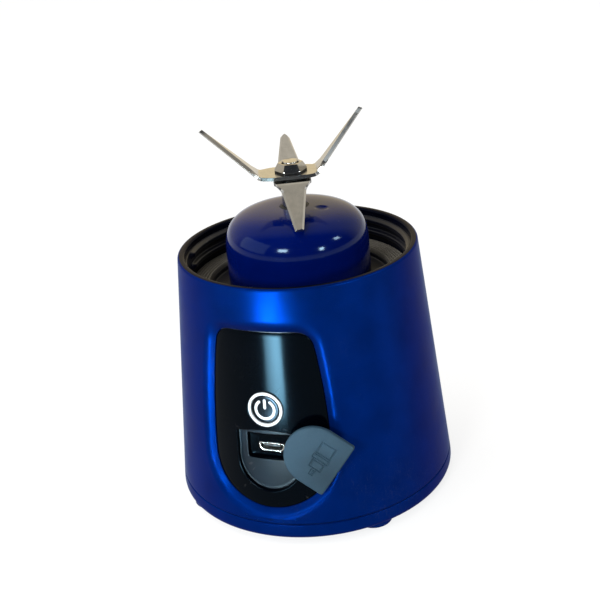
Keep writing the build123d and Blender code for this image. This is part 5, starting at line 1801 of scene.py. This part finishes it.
# ---------------------------------------------------------------- port flap
@dataclass
class PortFlap:
    """Rubber flap on its stem, turned aside from its seat and pulled out."""

    cone: Cone
    form: PortForm
    half_width: float = 9.3
    centre: float = -3.4
    straight: float = 8.05
    corner: float = 0.9
    thickness: float = 1.6
    back: float = 2.98
    edge_round: float = 0.4
    pull: float = 2.5
    swing: float = 124.0
    stem_azimuth: float = 4.0
    stem_tilt: float = 3.9
    ear_radius: float = 1.9
    ear_thickness: float = 1.1
    ear_root: float = 0.8
    ear_margin: float = 0.12
    stem_radius: float = 1.0
    head_radius: float = 1.8
    head_depth: float = 5.5
    stroke: float = 0.2
    deboss: float = 0.3
    mark_middle: tuple[float, float] = (-0.2, -1.6)
    mark_reach: tuple[float, float] = (6.1, 3.1)
    mark_boxes: tuple[tuple[float, ...], ...] = (
        (-5.4, -1.7, -2.2, 2.2), (-1.1, 0.2, -2.5, 2.5), (0.8, 3.2, -1.8, 1.8), (3.8, 5.5, -0.5, 0.5),
    )

    @property
    def direction(self) -> Points:
        """Direction of the stem, out of the panel."""
        azimuth, tilt = math.radians(self.stem_azimuth), math.radians(self.stem_tilt)
        return bearing(azimuth) * math.cos(tilt) + [0.0, 0.0, math.sin(tilt)]

    @property
    def root(self) -> Points:
        """Point of the stem's axis at the closed flap's back."""
        return self.cone.plane(np.array([self.form.pivot]), -self.back)[0]

    def opened(self, spots: Points) -> Points:
        """Turns points of the closed flap about the stem by minus the swing, then pulls them out.

        Rodrigues' formula: p cos + (d x p) sin + d (d . p) (1 - cos), with p measured from the stem.
        """
        turn, d = -math.radians(self.swing), self.direction
        p = spots - self.root
        turned = p * math.cos(turn) + np.cross(d, p) * math.sin(turn)
        turned += (p @ d)[..., None] * d * (1 - math.cos(turn))
        return self.root + turned + d * self.pull

    def outline(self) -> Loop:
        """Round below and straight on top, anticlockwise from the middle of the top."""
        top, wide = self.centre + self.straight, self.half_width
        left = soft_path([(0, top, 0), (-wide, top, self.corner), (-wide, self.centre, 0)], 12)
        round_part = arc((0, self.centre), wide, 180, 360, 200)
        right = soft_path([(wide, self.centre, 0), (wide, top, self.corner), (0, top, 0)], 12)
        return resample(np.concatenate([left, round_part[1:-1], right]), 721)[:-1]

    def marks(self, u: Points, v: Points) -> Points:
        """Depth of the pressed plug pictogram: rounded outlines of its parts, where strokes are sunk."""
        total = np.zeros_like(u)
        for low_u, high_u, low_v, high_v in self.mark_boxes:
            out_u = np.abs(u - (low_u + high_u) / 2) - (high_u - low_u) / 2
            out_v = np.abs(v - (low_v + high_v) / 2) - (high_v - low_v) / 2
            away = np.hypot(np.clip(out_u, 0, None), np.clip(out_v, 0, None))
            away = away + np.minimum(np.maximum(out_u, out_v), 0)
            total = np.maximum(total, 1 - smooth(np.abs(away), self.stroke * 0.6, self.stroke * 1.6))
        return total * self.deboss

    def flap(self) -> Piece:
        """Closed flap: back, rounded edge, and a front whose middle carries the pressed pictogram."""
        surface = Surface("port_flap_cover")
        outline = self.outline()
        middle = np.array(self.mark_middle)
        reach_u, reach_v = self.mark_reach
        columns, rows = np.linspace(-reach_u, reach_u, 141), np.linspace(-reach_v, reach_v, 91)
        frame_loop = rectangle(columns, rows) + middle
        angles = angles_about(frame_loop, tuple(middle))
        front = -self.back + self.thickness

        def level(margin: float, out: float) -> Points:
            """Outline at a margin, at a height out of the panel's plane."""
            return self.opened(self.cone.plane(by_angle(grown(outline, margin), tuple(middle), angles), out))

        turns = np.linspace(0, math.pi / 2, 6)
        edge = [
            level(-self.edge_round * (1 - math.sin(t)), front - self.edge_round * (1 - math.cos(t)))
            for t in turns
        ]
        rim = by_angle(grown(outline, -self.edge_round), tuple(middle), angles)
        inner = [
            self.opened(self.cone.plane(rim * (1 - share) + frame_loop * share, front))
            for share in np.linspace(1, 0, 7)[:-1]
        ]
        rear = [level(0.0, -self.back + 0.2), level(-0.15, -self.back)]
        loops = inner + edge + rear
        surface.loops(loops)
        surface.cap(loops[-1])
        u, v = np.meshgrid(columns, rows)
        flat = joined(u.ravel(), v.ravel()) + middle
        spots = self.opened(self.cone.plane(flat, front - self.marks(u, v).ravel()))
        surface.grid(spots.reshape(len(rows), len(columns), 3), False)
        return surface.build(Body.FLAP, FLAP_SLATE, "port_flap", sharp=60)

    def round_piece(self, profile: list[tuple[float, float]], count: int = 48) -> list[Points]:
        """Loops of a profile (radius, distance along the stem) about the stem's axis."""
        d = self.direction
        across = np.cross(d, [0.0, 0.0, 1.0])
        across /= np.linalg.norm(across)
        other = np.cross(d, across)
        angle = ring_of(count)
        circle = np.cos(angle)[:, None] * across + np.sin(angle)[:, None] * other
        return [self.root + circle * radius + d * along for radius, along in profile]

    def ear(self) -> Piece:
        """Soft boss behind the flap that holds the stem, kept inside the flap's outline."""
        surface = Surface("flap_ear")
        low = -self.ear_thickness
        circle = unit(ring_of(64))
        middle, pivot = np.array([0.0, self.centre]), np.array(self.form.pivot)
        loops = []
        for radius, out in (
            (self.stem_radius + 0.04, low), (self.ear_radius - 0.3, low), (self.ear_radius - 0.08, low + 0.1),
            (self.ear_radius, low + 0.35), (self.ear_radius, self.ear_root), (0.02, self.ear_root),
            (0.02, low + 0.85), (self.stem_radius + 0.04, low + 0.85), (self.stem_radius + 0.04, low),
        ):
            flat = pivot + radius * circle
            away = np.linalg.norm(flat - middle, axis=1)
            kept = np.minimum(1, (self.half_width - self.ear_margin) / away)
            flat = middle + (flat - middle) * kept[:, None]
            loops.append(self.opened(self.cone.plane(flat, out - self.back)))
        surface.loops(loops)
        return surface.build(Body.FLAP, FLAP_SLATE)

    def stem(self) -> Piece:
        """Stem through the panel, with a slight waist and a rounded head behind."""
        surface = Surface("flap_stem_pin")
        front = self.pull - self.ear_thickness + 0.65
        head = self.back - self.head_depth
        loops = self.round_piece([
            (0.02, front), (self.stem_radius - 0.1, front), (self.stem_radius, front - 0.1),
            (self.stem_radius - 0.06, front - 1.6), (self.stem_radius, head + 0.1), (self.stem_radius, head),
            (self.head_radius, head), (self.head_radius, head - 0.6), (self.head_radius - 0.3, head - 1.0),
            (0.02, head - 1.0),
        ])
        surface.rod(loops)
        return surface.build(Body.STEM, FLAP_SLATE, "flap_stem")

    def build(self) -> None:
        """Makes flap, ear and stem."""
        self.flap()
        self.ear()
        self.stem()


# ---------------------------------------------------------------- inner works
@dataclass(frozen=True)
class InnerWorks:
    """Parts inside the casing, which keep the construction's own solids and get their finishes."""

    finishes: tuple[Finish, ...] = CARRIED_OVER

    def build(self) -> None:
        """Gives each node that still shows the finish of its record slot."""
        by_slot = {finish.slot: finish for finish in self.finishes}
        for row in frame["record"]["subparts"]:
            piece = frame["nodes"][row["node"]]
            finish = by_slot.get(row["material_slot"])
            if finish is None:
                continue
            piece.data.materials.clear()
            piece.data.materials.append(finish.material())
            log.info("%s: finish %s", row["node"], finish.slot)


# ---------------------------------------------------------------- studio
@dataclass(frozen=True)
class Lamp:
    """Soft rectangular lamp that faces the object.

    Attributes:
        name: name of the lamp.
        azimuth: direction from the object, about +Z from the front panel, in degrees.
        height: height of its middle, in metres.
        distance: distance from the axis, in metres.
        size: width and height, in metres.
        power: in watts.
        aim: height that it faces, in metres.
        colour: linear colour.
        beam: angle of its beam in degrees, for a card that only reflections see.
    """

    name: str
    azimuth: float
    height: float
    distance: float
    size: tuple[float, float]
    power: float
    aim: float = 0.05
    colour: Colour = (1.0, 1.0, 1.0)
    beam: float = 0.0

    def build(self) -> None:
        """Places the lamp."""
        data = bpy.data.lights.new(self.name, "AREA")
        data.shape = "RECTANGLE"
        data.size, data.size_y = self.size
        data.energy = self.power
        data.color = self.colour
        lamp = bpy.data.objects.new(self.name, data)
        turn = math.radians(self.azimuth)
        spot = Vector((math.sin(turn) * self.distance, -math.cos(turn) * self.distance, self.height))
        back = (spot - Vector((0, 0, self.aim))).normalized()
        right = Vector((0, 0, 1)).cross(back).normalized()
        basis = Matrix((right, back.cross(right), back)).transposed()
        lamp.matrix_world = Matrix.Translation(spot) @ basis.to_4x4()
        lamp.visible_camera = False
        if self.beam:
            data.spread = math.radians(self.beam)
            lamp.visible_diffuse = False
        bpy.context.scene.collection.objects.link(lamp)


@dataclass
class Studio:
    """Pale floor, white surroundings, soft lamps and the camera."""

    lamps: tuple[Lamp, ...] = (
        Lamp("window_front", -4.0, 0.37, 0.80, (0.20, 0.14), 5.2, colour=(0.92, 0.97, 1.0)),
        Lamp("window_right", 58.0, 0.25, 0.80, (0.10, 0.12), 2.4, colour=(0.86, 0.94, 1.0)),
        Lamp("window_far", 92.0, 0.50, 0.80, (0.14, 0.14), 2.0, colour=(0.9, 0.96, 1.0)),
        Lamp("window_left", -58.0, 0.55, 1.20, (1.2, 0.8), 5.0, colour=(0.82, 0.92, 1.0)),
        Lamp("card_front", -7.2, 0.028, 0.17, (0.042, 0.056), 0.038, 0.064, (0.56, 0.86, 1.0), 30.0),
        Lamp("card_right", 87.0, 0.028, 0.14, (0.03, 0.055), 0.0006, 0.06, (0.8, 0.94, 1.0), 30.0),
    )
    wall_light: Colour = (1.1, 0.92, 0.6)
    upper_light: Colour = (0.85, 0.8, 0.7)
    room_light: Colour = (0.03, 0.035, 0.045)
    sun: float = 3.0
    sun_width: float = 80.0
    sun_turns: tuple[float, float] = (22.0, -34.0)
    floor_radius: float = 60.0
    floor_start: float = 20.0
    paper_shade: Colour = (0.3, 0.3, 0.3)
    wall_height: float = 0.4
    lens: float = 63.78
    distance: float = 328.367
    elevation: float = 22.0072
    roll: float = -0.0737
    turn: float = 18.0
    rim_place: tuple[float, float] = (-0.0585749, 0.0261873)
    shift: tuple[float, float] = (-0.1, -0.05)
    sensor: float = 36.0
    clip: tuple[float, float] = (0.01, 200.0)

    def floor(self) -> None:
        """Level disc with rings that widen outwards; it shows white and keeps the soft shadow."""
        surface = Surface("floor")
        radius = np.geomspace(self.floor_start, self.floor_radius / MM, 40)
        surface.turned(joined(radius, np.zeros(40)), 96)
        surface.cap(lathe(np.array([[self.floor_start, 0.0]]), ring_of(96))[0])
        mesh = bpy.data.meshes.new("floor")
        mesh.from_pydata((np.concatenate(surface.points) * MM).tolist(), [], surface.faces)
        floor = bpy.data.objects.new("floor", mesh)
        bpy.context.scene.collection.objects.link(floor)
        made = bpy.data.materials.new("floor_paper")
        made.use_nodes = True
        made.node_tree.nodes.clear()
        tree = Tree(made.node_tree)
        place = tree.add("ShaderNodeTexCoord").outputs["Object"]
        tone = tree.spread(tree.noise(place, 6.0, 3.0), NOISE_LOW, NOISE_HIGH, 0.86, 0.9)
        colour = tree.add("ShaderNodeCombineColor", {0: tone, 1: tone, 2: tone}).outputs[0]
        rays = tree.add("ShaderNodeLightPath")
        seen = tree.math("MAXIMUM", rays.outputs["Is Camera Ray"], rays.outputs["Is Glossy Ray"])
        seen = tree.math("MAXIMUM", seen, rays.outputs["Is Transmission Ray"])
        colour = tree.mix(seen, rgba(self.paper_shade), colour)
        paper = tree.add("ShaderNodeBsdfPrincipled", {"Base Color": colour, "Roughness": 0.9})
        paper.inputs["Specular IOR Level"].default_value = 0.1
        white = tree.add("ShaderNodeEmission", {"Color": (1, 1, 1, 1), "Strength": 1.0})
        share = tree.times(seen, 0.8)
        mixed = tree.add("ShaderNodeMixShader", {0: share, 1: paper.outputs[0], 2: white.outputs[0]})
        tree.add("ShaderNodeOutputMaterial", {"Surface": mixed.outputs[0]})
        mesh.materials.append(made)

    def surroundings(self) -> None:
        """World with a warm wall behind the object, a pale ceiling and a dark room in front; a soft sun."""
        world = bpy.data.worlds.new("surroundings")
        bpy.context.scene.world = world
        world.use_nodes = True
        world.node_tree.nodes.clear()
        tree = Tree(world.node_tree)
        way = tree.add("ShaderNodeTexCoord").outputs["Generated"]
        turn = math.radians(self.turn)
        wall = Vector((-math.sin(turn), math.cos(turn), self.wall_height)).normalized()
        facing = tree.add("ShaderNodeVectorMath", {0: way, 1: wall}, operation="DOT_PRODUCT").outputs["Value"]
        colour = tree.mix(tree.spread(facing, 0.1, 0.5), rgba(self.room_light), rgba(self.upper_light))
        colour = tree.mix(tree.spread(facing, 0.8, 0.96), colour, rgba(self.wall_light))
        light = tree.add("ShaderNodeBackground", {"Color": colour, "Strength": 1.0})
        tree.add("ShaderNodeOutputWorld", {"Surface": light.outputs[0]})
        data = bpy.data.lights.new("soft_sun", "SUN")
        data.energy, data.angle = self.sun, math.radians(self.sun_width)
        sun = bpy.data.objects.new("soft_sun", data)
        sun.rotation_euler = (*map(math.radians, self.sun_turns), 0)
        sun.visible_glossy = False
        bpy.context.scene.collection.objects.link(sun)

    def camera(self) -> None:
        """Camera at its distance from the rim's middle, rolled and shifted.

        The rim's middle appears at rim_place, as a share of the distance across and down. The
        axes are worked out for a camera straight in front, then turned about +Z.
        """
        level, roll = math.radians(self.elevation), self.roll
        back = Vector((0, -math.cos(level), math.sin(level)))
        right, up = Vector((1, 0, 0)), Vector((0, math.sin(level), math.cos(level)))
        across = right * math.cos(roll) + up * math.sin(roll)
        upward = up * math.cos(roll) - right * math.sin(roll)
        dx, dy = self.rim_place
        spot = back * self.distance - across * (dx * self.distance) - upward * (dy * self.distance)
        basis = Matrix((across, upward, back)).transposed()
        turn = Matrix.Rotation(math.radians(self.turn), 3, "Z")
        middle = Vector((0, 0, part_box("outer_shell")[1].z))
        data = bpy.data.cameras.new("camera")
        data.sensor_width, data.lens = self.sensor, self.lens
        data.shift_x, data.shift_y = self.shift
        data.clip_start, data.clip_end = self.clip
        camera = bpy.data.objects.new("camera", data)
        camera.matrix_world = Matrix.Translation(turn @ (spot * MM) + middle) @ (turn @ basis).to_4x4()
        bpy.context.scene.collection.objects.link(camera)
        bpy.context.scene.camera = camera

    def build(self) -> None:
        """Makes floor, surroundings, lamps and camera."""
        bpy.context.scene.view_settings.view_transform = "Standard"
        self.floor()
        self.surroundings()
        for lamp in self.lamps:
            lamp.build()
        self.camera()


def main() -> None:
    """Builds each sub-assembly in order."""
    logging.basicConfig(level=logging.INFO, format="%(name)s %(message)s")
    cone, form, port = Cone(), PanelForm(), PortForm()
    parts = (
        Studio(),
        CasingShell(cone, form),
        BottomCover(cone),
        JarSeat(cone),
        MotorDome(cone),
        BladeStack(cone),
        FrontPanel(cone, form, port),
        PowerButton(cone),
        ChargePort(cone, port),
        PortFlap(cone, port),
        InnerWorks(),
    )
    for part in parts:
        log.info("building %s", type(part).__name__)
        part.build()


if __name__ == "__main__":
    main()
